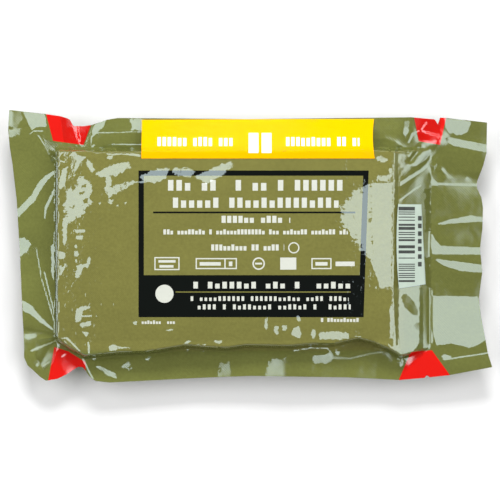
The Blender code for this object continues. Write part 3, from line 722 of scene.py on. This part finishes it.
def lines(table):
    """Shares of the grid lines, from rows of (from, to, steps)."""
    shares = [table[0][0]]
    for start, end, steps in table:
        shares += [start + (end - start) * (step + 1) / steps for step in range(steps)]
    return np.array(shares)


def along_edge(edge, shares, axis):
    """Points of a cut edge at shares of its run along an axis."""
    edge = np.array(sorted(edge, key=lambda point: point[axis]), float)
    places = edge[0, axis] + (edge[-1, axis] - edge[0, axis]) * shares
    other = np.interp(places, edge[:, axis], edge[:, 1 - axis])
    px, py = (places, other) if axis == 0 else (other, places)
    return np.stack(at_pixel(px, py), axis=-1)


def plan_grid():
    """X and Y of the film's grid points, inside the pouch's cut outline."""
    s, t = lines(LENGTH_LINES), lines(WIDTH_LINES)
    top, bottom = along_edge(TOP_EDGE, s, 0), along_edge(BOTTOM_EDGE, s, 0)
    left, right = along_edge(LEFT_EDGE, 1.0 - t, 1), along_edge(RIGHT_EDGE, 1.0 - t, 1)
    s, t = s[None, :, None], t[:, None, None]
    between = bottom[None] * (1 - t) + top[None] * t + left[:, None] * (1 - s) + right[:, None] * s
    corners = (bottom[0] * (1 - s) + bottom[-1] * s) * (1 - t) + (top[0] * (1 - s) + top[-1] * s) * t
    grid = between - corners
    return grid[..., 0], grid[..., 1]


def lowest_near(heights):
    """The lowest height at each grid point and its neighbours."""
    padded = np.pad(heights, 1, mode="edge")
    rows, columns = heights.shape
    near = [padded[i:i + rows, j:j + columns] for i in range(3) for j in range(3)]
    return np.minimum.reduce(near)


def rim_of(rows, columns, step):
    """Grid point numbers round a grid's edge, anticlockwise, for every step-th point."""
    numbers = np.arange(rows * columns).reshape(rows, columns)[::step, ::step]
    around = [numbers[0, :-1], numbers[:-1, -1], numbers[-1, :0:-1], numbers[:0:-1, 0]]
    return np.concatenate(around)


def grid_faces(rows, columns, first, upwards):
    """Quads of a grid of points that starts at a given point number."""
    numbers = first + np.arange(rows * columns).reshape(rows, columns)
    quads = [numbers[:-1, :-1], numbers[:-1, 1:], numbers[1:, 1:], numbers[1:, :-1]]
    quads = np.stack(quads, axis=-1).reshape(-1, 4)
    return (quads if upwards else quads[:, ::-1]).tolist()


def add_piece(name, points, faces, material, replaced):
    """A smooth mesh piece that rides with the pack and stands for its CAD node."""
    mesh = bpy.data.meshes.new(name)
    mesh.from_pydata(points, [], faces)
    mesh.validate()
    mesh.shade_smooth()
    mesh.set_sharp_from_angle(angle=math.radians(65))
    mesh.materials.append(material)
    piece = bpy.data.objects.new(name, mesh)
    bpy.context.scene.collection.objects.link(piece)
    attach(piece, "root")
    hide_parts(replaced)
    return piece


def shell(upper, lower, fine_step=1):
    """Points and faces of a closed skin between two grids of the same outline.

    The upper grid may be finer, by a whole number of its lines to each line of the lower.
    """
    rows, columns = upper.shape[:2]
    low_rows, low_columns = lower.shape[:2]
    first = rows * columns
    faces = grid_faces(rows, columns, 0, True)
    faces += grid_faces(low_rows, low_columns, first, False)
    fine = rim_of(rows, columns, 1)
    coarse = first + rim_of(low_rows, low_columns, 1)
    count = len(coarse)
    for place in range(count):
        run = [fine[(place * fine_step + step) % len(fine)] for step in range(fine_step + 1)]
        faces.append([int(n) for n in run[::-1]] + [int(coarse[place]), int(coarse[(place + 1) % count])])
    points = np.concatenate([upper.reshape(-1, 3), lower.reshape(-1, 3)])
    return points.tolist(), faces


def web_levels():
    """The film's plan and the heights of its webs' faces, from the printed face down."""
    size = sizes()
    x, y = plan_grid()
    printed = front_height(x, y)
    inner = (lowest_near(printed) - size.film_wall)[::2, ::2]
    edge = np.zeros(inner.shape, bool)
    edge[0], edge[-1], edge[:, 0], edge[:, -1] = True, True, True, True
    inner = np.where(edge, printed[::2, ::2] - size.film_wall, inner)
    low_x, low_y = x[::2, ::2], y[::2, ::2]
    held = held_by(low_x, low_y)
    seal = seal_middle(low_x, low_y, held) + crease_relief(low_x, low_y, held) * (1.0 - held)
    seal = np.minimum(seal - size.web_gap / 2, inner - size.web_gap)
    back = seal + (size.film_wall - seal) * smooth(np.minimum(held * 1.25, 1.0))
    back = np.minimum(back, inner - size.web_gap)
    back = np.maximum(back, size.film_wall)
    return x, y, printed, low_x, low_y, inner, back


def surface_of(piece):
    """The faces of a piece, ready for finding heights on them."""
    mesh = piece.data
    return BVHTree.FromPolygons([v.co for v in mesh.vertices], [p.vertices for p in mesh.polygons])


def height_met(tree, x, y, start, way):
    """The height of the first face met from a start, going up (1) or down (-1), if any."""
    hit = tree.ray_cast(Vector((x, y, start)), Vector((0.0, 0.0, way)))[0]
    return None if hit is None else hit.z


class Value:
    """A shader socket that takes part in Python expressions."""

    def __init__(self, finish, socket):
        self.finish = finish
        self.socket = socket

    def math(self, operation, *others):
        values = dict(enumerate((self, *others)))
        return self.finish.node("ShaderNodeMath", {"operation": operation}, values)

    def reflected(self, operation, other):
        values = {0: other, 1: self}
        return self.finish.node("ShaderNodeMath", {"operation": operation}, values)

    def __add__(self, other):
        return self.math("ADD", other)

    def __radd__(self, other):
        return self.reflected("ADD", other)

    def __sub__(self, other):
        return self.math("SUBTRACT", other)

    def __rsub__(self, other):
        return self.reflected("SUBTRACT", other)

    def __mul__(self, other):
        return self.math("MULTIPLY", other)

    def __rmul__(self, other):
        return self.reflected("MULTIPLY", other)

    def __truediv__(self, other):
        return self.math("DIVIDE", other)

    def __gt__(self, other):
        return self.math("GREATER_THAN", other)

    def __lt__(self, other):
        return self.math("LESS_THAN", other)

    def __or__(self, other):
        return self.math("MAXIMUM", other)

    def __and__(self, other):
        return self.math("MULTIPLY", other)

    def within(self, low, high):
        """1 from low to high, and 0 outside."""
        return (self > low) & (self < high)


class Finish:
    """A material's node tree while it is being made."""

    def __init__(self, name):
        self.material = bpy.data.materials.new(name)
        self.material.use_nodes = True
        self.tree = self.material.node_tree
        self.tree.nodes.clear()
        place = self.node("ShaderNodeTexCoord", {}, {}, "Object")
        self.place = place
        parts = self.node("ShaderNodeSeparateXYZ", {}, {"Vector": place}, None)
        self.x, self.y, self.z = (Value(self, parts.outputs[axis]) for axis in "XYZ")

    def node(self, kind, settings, values, output=0):
        """A node with its settings and socket values or links. Returns one output, or the node."""
        node = self.tree.nodes.new(kind)
        for key, setting in settings.items():
            setattr(node, key, setting)
        for key, value in values.items():
            if isinstance(value, Value):
                self.tree.links.new(value.socket, node.inputs[key])
            else:
                node.inputs[key].default_value = value
        return node if output is None else Value(self, node.outputs[output])

    def noise(self, size, detail=2.0, roughness=0.5, stretch=(1.0, 1.0, 1.0), distortion=0.0):
        """Cloudy noise from 0 to 1 whose blobs are about the given size, in metres."""
        place = self.node("ShaderNodeMapping", {}, {"Vector": self.place, "Scale": stretch})
        values = {"Vector": place, "Scale": 1.0 / size, "Detail": detail, "Roughness": roughness,
                  "Distortion": distortion}
        return self.node("ShaderNodeTexNoise", {}, values, "Fac")

    def ramp(self, value, low, high):
        """0 where a value is under low, 1 over high, straight between them."""
        settings = {"interpolation_type": "LINEAR"}
        values = {"Value": value, "From Min": low, "From Max": high}
        return self.node("ShaderNodeMapRange", settings, values, "Result")

    def mix(self, share, first, second):
        """One colour over another by a share."""
        values = {0: share}
        values[6] = first if isinstance(first, Value) else (*first, 1.0)
        values[7] = second if isinstance(second, Value) else (*second, 1.0)
        return self.node("ShaderNodeMix", {"data_type": "RGBA"}, values, 2)

    def tone(self, base, amount):
        """A colour made lighter or darker by a grey value round 1."""
        grey = self.node("ShaderNodeCombineXYZ", {}, {"X": amount, "Y": amount, "Z": amount})
        start = base if isinstance(base, Value) else tuple(base)
        return self.node("ShaderNodeVectorMath", {"operation": "MULTIPLY"}, {0: start, 1: grey})

    def bump(self, height, distance, normal=None):
        """A normal from a height value of 0 to 1 that stands for a real distance."""
        values = {"Height": height, "Distance": distance, "Strength": 1.0}
        if normal is not None:
            values["Normal"] = normal
        return self.node("ShaderNodeBump", {}, values, "Normal")

    def leaning(self, east):
        """The surface's own normal, leaning east by a share."""
        lean = self.node("ShaderNodeCombineXYZ", {}, {"X": east})
        turn = {"vector_type": "VECTOR", "convert_from": "OBJECT", "convert_to": "WORLD"}
        lean = self.node("ShaderNodeVectorTransform", turn, {"Vector": lean})
        own = self.node("ShaderNodeNewGeometry", {}, {}, "Normal")
        both = self.node("ShaderNodeVectorMath", {"operation": "ADD"}, {0: own, 1: lean})
        return self.node("ShaderNodeVectorMath", {"operation": "NORMALIZE"}, {0: both})

    def rows(self, row):
        """Ink mask of a row of plain small blocks, in groups, as a line of print."""
        left, top = at_pixel(row.left, row.top)
        right, bottom = at_pixel(row.right, row.bottom)
        pitch = row.pitch * PIXEL
        run = (self.x - left) / pitch
        cell = run.math("FLOOR")
        share = run - cell
        chance = self.node("ShaderNodeTexWhiteNoise", {"noise_dimensions": "1D"},
                           {"W": cell + row.seed * 57.0}, "Value")
        ceiling = bottom + (top - bottom) * row.low
        tall = chance > 0.55
        height = tall * (top - ceiling) + ceiling
        inked = share.within(0.5 - row.fill / 2, 0.5 + row.fill / 2) & (chance > row.gaps)
        return inked & (self.y > bottom) & (height > self.y) & self.x.within(left, right)

    def over_dressing(self):
        """1 where the film lies on the dressing, and 0 on its margins."""
        x0, y1 = at_pixel(DRESSING.left, DRESSING.top)
        x1, y0 = at_pixel(DRESSING.right, DRESSING.bottom)
        soft = 0.0012
        across = self.ramp(self.x, x0, x0 + soft) & (1.0 - self.ramp(self.x, x1 - soft * 8, x1))
        return across & self.ramp(self.y, y0, y0 + soft) & (1.0 - self.ramp(self.y, y1 - soft, y1))

    def box(self, left, top, right, bottom):
        """Mask of a box of pixels."""
        x0, y1 = at_pixel(left, top)
        x1, y0 = at_pixel(right, bottom)
        return self.x.within(x0, x1) & self.y.within(y0, y1)

    def hollow_box(self, left, top, right, bottom, line):
        """Mask of a box's outline."""
        outer = self.box(left, top, right, bottom)
        return outer & (1.0 - self.box(left + line, top + line, right - line, bottom - line))

    def ring(self, px, py, radius, line):
        """Mask of a ring."""
        x, y = at_pixel(px, py)
        away = ((self.x - x).math("POWER", 2.0) + (self.y - y).math("POWER", 2.0)).math("SQRT")
        return away.within((radius - line) * PIXEL, radius * PIXEL)

    def side_of(self, first, second):
        """Mask of what lies left of a line of pixels, going from its first to its second."""
        x0, y0 = at_pixel(*first)
        x1, y1 = at_pixel(*second)
        away = (self.y - y0) * (x1 - x0) - (self.x - x0) * (y1 - y0)
        return away > 0.0

    def done(self, values, settings=None):
        """Adds the Principled shader and the output. Returns the material."""
        shader = self.node("ShaderNodeBsdfPrincipled", settings or {}, values, "BSDF")
        self.node("ShaderNodeOutputMaterial", {}, {"Surface": shader}, None)
        return self.material


def any_of(masks):
    """Mask of what lies in at least one of the masks."""
    joined = masks[0]
    for mask in masks[1:]:
        joined = joined | mask
    return joined


def corner_patches(finish):
    """Mask of the red patches printed across the flanges at the pouch's corners."""
    masks = []
    for patch in CORNER_PATCHES:
        mask = finish.x > 0.0 if patch.east else finish.x < 0.0
        mask = mask & (finish.y > 0.0 if patch.north else finish.y < 0.0)
        for line in patch.lines:
            mask = mask & finish.side_of(*line)
        masks.append(mask)
    return any_of(masks)


def dark_print(finish):
    """Mask of the black frame, the black band in it and its rule."""
    outer = finish.box(*FRAME_OUTSIDE) & finish.side_of(*FRAME_RIGHT_OUTSIDE)
    inner = finish.box(*FRAME_INSIDE) & finish.side_of(*FRAME_RIGHT_INSIDE)
    return (outer & (1.0 - inner)) | finish.box(*BLACK_RULE)


def light_print(finish):
    """Mask of the white print: rows, small plain boxes and rings, and a plain disc."""
    masks = [finish.rows(row) for row in FILM_ROWS]
    masks += [finish.hollow_box(*box, MARK_LINE) for box in MARK_FRAMES]
    masks += [finish.box(*box) for box in MARK_BOXES]
    masks += [finish.ring(*ring) for ring in MARK_RINGS]
    return any_of(masks)


def film_finish(printed):
    """Glossy olive film, finely crumpled, with painted shade darkening its right slope and fin, and its
    print and leaning flats where it is printed.
    """
    palette = colours()
    finish = Finish("printed film" if printed else "plain film")
    clouds = finish.noise(0.016, 3.0)
    specks = finish.noise(0.0011, 2.0, 0.6)
    threads = finish.noise(0.0016, 2.0, 0.6, (0.35, 1.6, 1.0))
    backed = finish.over_dressing()
    start = finish.mix(backed, tuple(palette.margin), tuple(palette.film))
    weave = (finish.x / 0.00013).math("SINE") & (finish.y / 0.00013).math("SINE")
    # Painted shade: the right slope and the right fin are coloured darker.
    dim = 1.0 - 0.14 * finish.ramp(finish.x, at_pixel(396, 0)[0], at_pixel(404, 0)[0])
    grain = 0.70 + 0.24 * clouds + 0.36 * specks + 0.06 * weave * backed
    base = finish.tone(start, grain * dim)
    normal = None
    if printed:
        base = finish.mix(corner_patches(finish), base, tuple(palette.corner))
        base = finish.mix(dark_print(finish), base, tuple(palette.ink))
        base = finish.mix(light_print(finish), base, tuple(palette.print))
        base = finish.mix(finish.box(*OLIVE_RULE), base, tuple(palette.film))
        depth, lean, ragged = (
            finish.node("ShaderNodeAttribute", {"attribute_name": name}, {}, "Fac") for name in FLAT_FIELDS
        )
        chips = finish.noise(0.0017, 4.0, 0.62) * 6.0 - 3.0
        normal = finish.leaning((chips * ragged + depth > 0.0) * lean)
    coarse = finish.noise(0.0052, 1.0, 0.5, distortion=0.4)
    pressed = finish.noise(0.0024, 2.0, 0.55, distortion=0.5)
    left, right = at_pixel(120, 0)[0], at_pixel(335, 0)[0]
    ends = finish.ramp(finish.x, left + 0.006, left) | finish.ramp(finish.x, right - 0.004, right)
    ends = ends & backed
    rough = finish.ramp(coarse, 0.25, 0.75) * 0.05 + 0.05
    emboss = (finish.x / 0.00016).math("SINE") & (finish.y / 0.00016).math("SINE")
    threads = threads * (0.3 + 0.7 * backed) + emboss * 0.3 * (1.0 - backed)
    gauze = finish.bump(threads, THREAD_RISE, normal)
    crumple = finish.bump(coarse * (0.5 + 0.5 * backed), CRUMPLE_RISE, gauze)
    fine = finish.bump(pressed * (0.08 + 0.30 * backed + 0.4 * ends), PRESSED_RISE, crumple)
    return finish.done({
        "Base Color": base, "Roughness": rough, "Normal": fine, "IOR": 2.06,
        "Specular Tint": (0.80, 0.97, 1.0, 1.0),
    })


def band_finish():
    """Satin yellow paper film, with painted shade darkening its lower part, and rows of plain white
    blocks.
    """
    palette = colours()
    finish = Finish("yellow label")
    clouds = finish.noise(0.012, 2.0)
    creases = finish.noise(0.0032, 2.0, 0.5, (0.8, 1.3, 1.0))
    # Painted shade: the label's lower part is coloured darker and more orange than its top.
    painted_shade_share = finish.ramp(finish.y, at_pixel(0, 146)[1], at_pixel(0, 154)[1])
    body = finish.mix(painted_shade_share, tuple(palette.band), tuple(palette.band_painted_shade))
    body = finish.tone(body, 0.95 + 0.08 * clouds)
    ink = any_of([finish.rows(row) for row in BAND_ROWS])
    base = finish.mix(ink, body, (0.95, 0.95, 0.90))
    rough = finish.ramp(creases, 0.3, 0.7) * 0.06 + 0.14
    return finish.done({
        "Base Color": base, "Roughness": rough, "Normal": finish.bump(creases, 0.00012),
        "Specular IOR Level": 0.22,
    })


def code_finish():
    """Satin white label, with bars across it and a column of small blocks."""
    palette = colours()
    finish = Finish("white label")
    clouds = finish.noise(0.004, 2.0)
    top = at_pixel(BARS.right, BARS.top)[1]
    bottom = at_pixel(BARS.right, BARS.bottom)[1]
    cell = ((finish.y - bottom) / BAR_PITCH).math("FLOOR")
    chance = finish.node("ShaderNodeTexWhiteNoise", {"noise_dimensions": "1D"}, {"W": cell}, "Value")
    thinner = finish.ramp(finish.y, top - 0.008, bottom + 0.006) * 0.26 + 0.38
    bars = (chance > thinner) & finish.box(*BARS)
    run = (finish.y - at_pixel(TICKS.left, TICKS.bottom)[1]) / TICK_PITCH
    ticks = (run - run.math("FLOOR")).within(0.2, 0.8) & finish.box(*TICKS)
    body = finish.tone(tuple(palette.label), 0.92 + 0.14 * clouds)
    base = finish.mix(bars | ticks, body, (0.03, 0.035, 0.03))
    return finish.done({
        "Base Color": base, "Roughness": 0.3, "Normal": finish.bump(clouds, 0.00012),
    })


def cloth_finish(name, base, thread, ribs):
    """Matt woven cloth, with threads along X and ribs across them."""
    finish = Finish(name)
    along = (finish.y / thread).math("SINE")
    across = (finish.x / (thread * ribs)).math("SINE")
    weave = (along * across) * 0.5 + 0.5
    fuzz = finish.noise(thread * 3.0, 3.0, 0.7)
    shade = finish.tone(tuple(base), 0.72 + 0.22 * weave + 0.20 * fuzz)
    return finish.done({
        "Base Color": shade, "Roughness": 0.92, "Normal": finish.bump(weave + fuzz, thread * 0.6),
        "Sheen Weight": 0.3,
    })


class BANDAGE_OT_film(Operator):
    """Builds the two webs of the pouch"""

    bl_idname = "bandage.film"
    bl_label = "Pouch film"

    def execute(self, context):
        size = sizes()
        x, y, printed, low_x, low_y, inner, back = web_levels()
        upper = np.stack([x, y, printed], axis=-1)
        lower = np.stack([low_x, low_y, inner], axis=-1)
        points, faces = shell(upper, lower, 2)
        front = add_piece("front_film_web", points, faces, film_finish(True), "front_film")
        for name, field in zip(FLAT_FIELDS, flat_fields(x, y)):
            values = np.concatenate([field.ravel(), np.zeros(low_x.size)])
            front.data.attributes.new(name, "FLOAT", "POINT").data.foreach_set("value", values)
        upper = np.stack([low_x, low_y, back], axis=-1)
        lower = np.stack([low_x, low_y, back - size.film_wall], axis=-1)
        points, faces = shell(upper, lower)
        add_piece("back_film_web", points, faces, film_finish(False), "back_film")
        return {"FINISHED"}


class BANDAGE_OT_pad(Operator):
    """Builds the absorbent pad under the wrap"""

    bl_idname = "bandage.pad"
    bl_label = "Absorbent pad"

    def execute(self, context):
        low, high = PAD_LOW, PAD_HIGH
        across = np.linspace(-1.0, 1.0, 61)
        along = np.linspace(-1.0, 1.0, 37)
        u, v = np.meshgrid(across, along)
        waist = 1.0 - 0.012 * (1.0 - np.abs(u) ** 2) * np.abs(v)
        edge = (1.0 - np.abs(u) ** 14) * (1.0 - np.abs(v) ** 10)
        crown = np.sqrt(np.clip(edge, 0.0, 1.0))
        x = (low.x + high.x) / 2 + (high.x - low.x) / 2 * u
        y = (low.y + high.y) / 2 + (high.y - low.y) / 2 * v * waist
        middle = (low.z + high.z) / 2
        half = (high.z - low.z) / 2
        top = middle + half * (0.12 + 0.83 * crown * (1.0 + 0.04 * wander(x, y, 9 * MM, 5)))
        bottom = middle - half * (0.12 + 0.86 * crown)
        points, faces = shell(np.stack([x, y, top], axis=-1), np.stack([x, y, bottom], axis=-1))
        material = cloth_finish("pad cotton", colours().cotton, 0.00012, 1.3)
        pad = add_piece("absorbent_pad_cover", points, faces, material, "absorbent_pad")
        return {"FINISHED"}


def wrap_strip(length, depth, cloth, gap):
    """Middle line of a strip folded to and fro: points of (x, height)."""
    pitch = cloth + gap
    runs = int((depth - cloth) / pitch) + 1
    pitch = (depth - cloth) / (runs - 1)
    turn = pitch / 2
    reach = length / 2 - turn - cloth / 2
    line = []
    for run in range(runs):
        way = 1 if run % 2 == 0 else -1
        level = cloth / 2 + run * pitch
        line += [(way * place, level) for place in np.linspace(-reach, reach, 25)]
        if run < runs - 1:
            for angle in np.linspace(-90.0, 90.0, 7)[1:-1]:
                out = reach + turn * math.cos(math.radians(angle))
                line.append((way * out, level + turn + turn * math.sin(math.radians(angle))))
    return np.array(line)


class BANDAGE_OT_wrap(Operator):
    """Builds the elastic wrap, folded to and fro over the pad"""

    bl_idname = "bandage.wrap"
    bl_label = "Elastic wrap"

    def execute(self, context):
        film = bpy.data.objects.get("front_film_web")
        if film is None:
            raise RuntimeError("The wrap is fitted under the pouch film, so build the film first")
        tree = surface_of(film)
        cloth = sizes().wrap_cloth
        width = WRAP_HIGH.y - WRAP_LOW.y
        depth = WRAP_HIGH.z - WRAP_LOW.z
        line = wrap_strip(WRAP_HIGH.x - WRAP_LOW.x, depth, cloth, FOLD_GAP)
        way = np.gradient(line, axis=0)
        way = way / np.linalg.norm(way, axis=1)[:, None]
        aside = np.stack([-way[:, 1], way[:, 0]], axis=-1) * cloth / 2
        section = np.stack([line + aside, line - aside])
        across = np.linspace(-0.5, 0.5, 33) * width
        layers = []
        for face in section:
            x = np.repeat(face[:, 0][:, None], len(across), axis=1)
            y = np.repeat(across[None, :], len(face), axis=0)
            z = np.repeat(face[:, 1][:, None], len(across), axis=1)
            for i in range(x.shape[0]):
                for j in range(x.shape[1]):
                    met = height_met(tree, x[i, j], y[i, j], WRAP_LOW.z, 1.0)
                    ceiling = WRAP_HIGH.z if met is None else met - FILM_ROOM
                    z[i, j] = WRAP_LOW.z + (ceiling - WRAP_LOW.z) * z[i, j] / depth
            layers.append(np.stack([x, y, z], axis=-1))
        points, faces = shell(layers[1], layers[0])
        material = cloth_finish("elastic gauze", colours().gauze, 0.00022, 2.2)
        wrap = add_piece("elastic_wrap_folded", points, faces, material, "elastic_wrap")
        return {"FINISHED"}


def taut_over(places, heights):
    """Heights of a strip pulled taut over a profile."""
    held = []
    for place, height in zip(places, heights):
        while len(held) > 1:
            (x0, z0), (x1, z1) = held[-2:]
            if (z1 - z0) * (place - x0) > (height - z0) * (x1 - x0):
                break
            held.pop()
        held.append((place, height))
    return np.interp(places, *np.array(held).T)


def film_round(tree, x, y, reach):
    """The greatest height of the film at a place and close round it."""
    heights = []
    for dx in (-reach, 0.0, reach):
        for dy in (-reach, 0.0, reach):
            heights.append(height_met(tree, x + dx, y + dy, 0.05, -1.0))
    heights = [height for height in heights if height is not None]
    if not heights:
        raise RuntimeError("A label lies off the film, so move it in")
    return max(heights)


def label_shape(corners, across, along, taut, bulge):
    """Points and faces of a label over the film, from its four corners in pixels."""
    size = sizes()
    tree = surface_of(bpy.data.objects["front_film_web"])
    top_left, top_right, bottom_right, bottom_left = (np.array(at_pixel(*c)) for c in corners)
    s = np.linspace(0.0, 1.0, across + 1)[None, :, None]
    t = np.linspace(0.0, 1.0, along + 1)[:, None, None]
    plan = (bottom_left * (1 - s) + bottom_right * s) * (1 - t) + (top_left * (1 - s) + top_right * s) * t
    west, east = np.clip(1.0 - 2.0 * s, 0.0, 1.0), np.clip(2.0 * s - 1.0, 0.0, 1.0)
    side = west * bulge[0] + east * bulge[1]
    plan[..., 0] += (side * 4.0 * t * (1.0 - t))[..., 0] * PIXEL
    reach = 0.0003
    heights = np.array([[film_round(tree, x, y, reach) for x, y in row] for row in plan])
    if taut:
        for column in range(heights.shape[1]):
            heights[:, column] = taut_over(plan[:, column, 1], heights[:, column])
    x, y = plan[..., 0], plan[..., 1]
    heights = heights + size.label_gap + size.label_wall
    upper = np.stack([x, y, heights], axis=-1)
    lower = np.stack([x, y, heights - size.label_wall], axis=-1)
    return shell(upper, lower)


class BANDAGE_OT_band_label(Operator):
    """Builds the yellow label, pulled taut from the top margin to the dressing"""

    bl_idname = "bandage.band_label"
    bl_label = "Band label"

    def execute(self, context):
        points, faces = label_shape(BAND_CORNERS, 190, 34, True, (0.0, -1.6))
        add_piece("band_label_skin", points, faces, band_finish(), "band_label")
        return {"FINISHED"}


class BANDAGE_OT_code_label(Operator):
    """Builds the white label with bars, on the slope at the right end"""

    bl_idname = "bandage.code_label"
    bl_label = "Code label"

    def execute(self, context):
        points, faces = label_shape(CODE_CORNERS, 30, 90, False, (-2.0, 0.0))
        add_piece("code_label_skin", points, faces, code_finish(), "code_label")
        return {"FINISHED"}


class Light(NamedTuple):
    """A soft box: its place, its size along and across, its watts, and if the film mirrors it."""

    place: tuple
    size: tuple
    power: float
    mirrored: bool = True


LIGHTS = {
    "left soft box": Light((-0.66, 0.06, 0.80), (1.1, 0.66), 7.5),
    "right soft box": Light((0.66, 0.0, 0.81), (1.1, 0.80), 8.4),
    "far soft box": Light((0.0, 0.95, 0.85), (0.5, 0.30), 13.5, False),
}


class BANDAGE_OT_studio(Operator):
    """Builds the pale floor, the soft boxes and the camera"""

    bl_idname = "bandage.studio"
    bl_label = "Studio"

    def execute(self, context):
        scene = context.scene
        mesh = bpy.data.meshes.new("floor")
        half = 2.0
        corners = [(-half, -half, 0.0), (half, -half, 0.0), (half, half, 0.0), (-half, half, 0.0)]
        mesh.from_pydata(corners, [], [(0, 1, 2, 3)])
        finish = Finish("pale floor")
        mesh.materials.append(finish.done({"Base Color": (0.80, 0.80, 0.80, 1.0), "Roughness": 0.9}))
        floor = bpy.data.objects.new("floor", mesh)
        scene.collection.objects.link(floor)
        for name, setup in LIGHTS.items():
            light = bpy.data.lights.new(name, "AREA")
            light.shape = "RECTANGLE"
            light.size, light.size_y = setup.size
            light.energy = setup.power
            lamp = bpy.data.objects.new(name, light)
            lamp.location = setup.place
            lamp.visible_glossy = setup.mirrored
            lamp.rotation_euler = (Vector(setup.place) * -1.0).to_track_quat("-Z", "Y").to_euler()
            scene.collection.objects.link(lamp)
        world = bpy.data.worlds.new("studio")
        world.use_nodes = True
        background = world.node_tree.nodes["Background"]
        background.inputs["Color"].default_value = (1.0, 1.0, 1.0, 1.0)
        background.inputs["Strength"].default_value = 0.03
        scene.world = world
        camera = bpy.data.cameras.new("camera")
        distance = 1.5
        camera.sensor_width = 36.0
        camera.lens = 36.0 * distance / (PICTURE[0] * PIXEL)
        eye = bpy.data.objects.new("camera", camera)
        eye.location = (*at_pixel(PICTURE[0] / 2, PICTURE[1] / 2), sizes().seal_height + distance)
        scene.collection.objects.link(eye)
        scene.camera = eye
        scene.view_settings.view_transform = "Standard"
        return {"FINISHED"}


class BANDAGE_PT_panel(Panel):
    """Lists the pack's sizes, colours and build steps"""

    bl_idname = "BANDAGE_PT_panel"
    bl_label = "Trauma bandage"
    bl_space_type = "VIEW_3D"
    bl_region_type = "UI"
    bl_category = "Bandage"

    def draw(self, context):
        for group in (context.scene.pack_sizes, context.scene.pack_colours):
            column = self.layout.column(align=True)
            for name in group.__annotations__:
                column.prop(group, name)
        for operator in OPERATORS:
            self.layout.operator(operator.bl_idname)


OPERATORS = (
    BANDAGE_OT_film,
    BANDAGE_OT_pad,
    BANDAGE_OT_wrap,
    BANDAGE_OT_band_label,
    BANDAGE_OT_code_label,
    BANDAGE_OT_studio,
)
CLASSES = (PackSizes, PackColours, *OPERATORS, BANDAGE_PT_panel)


def register():
    for item in CLASSES:
        bpy.utils.register_class(item)
    bpy.types.Scene.pack_sizes = PointerProperty(type=PackSizes)
    bpy.types.Scene.pack_colours = PointerProperty(type=PackColours)


def unregister():
    del bpy.types.Scene.pack_colours
    del bpy.types.Scene.pack_sizes
    for item in reversed(CLASSES):
        bpy.utils.unregister_class(item)


def main():
    """Builds the pack and its studio."""
    register()
    bpy.ops.bandage.film()
    bpy.ops.bandage.pad()
    bpy.ops.bandage.wrap()
    bpy.ops.bandage.band_label()
    bpy.ops.bandage.code_label()
    bpy.ops.bandage.studio()


if __name__ == "__main__":
    main()
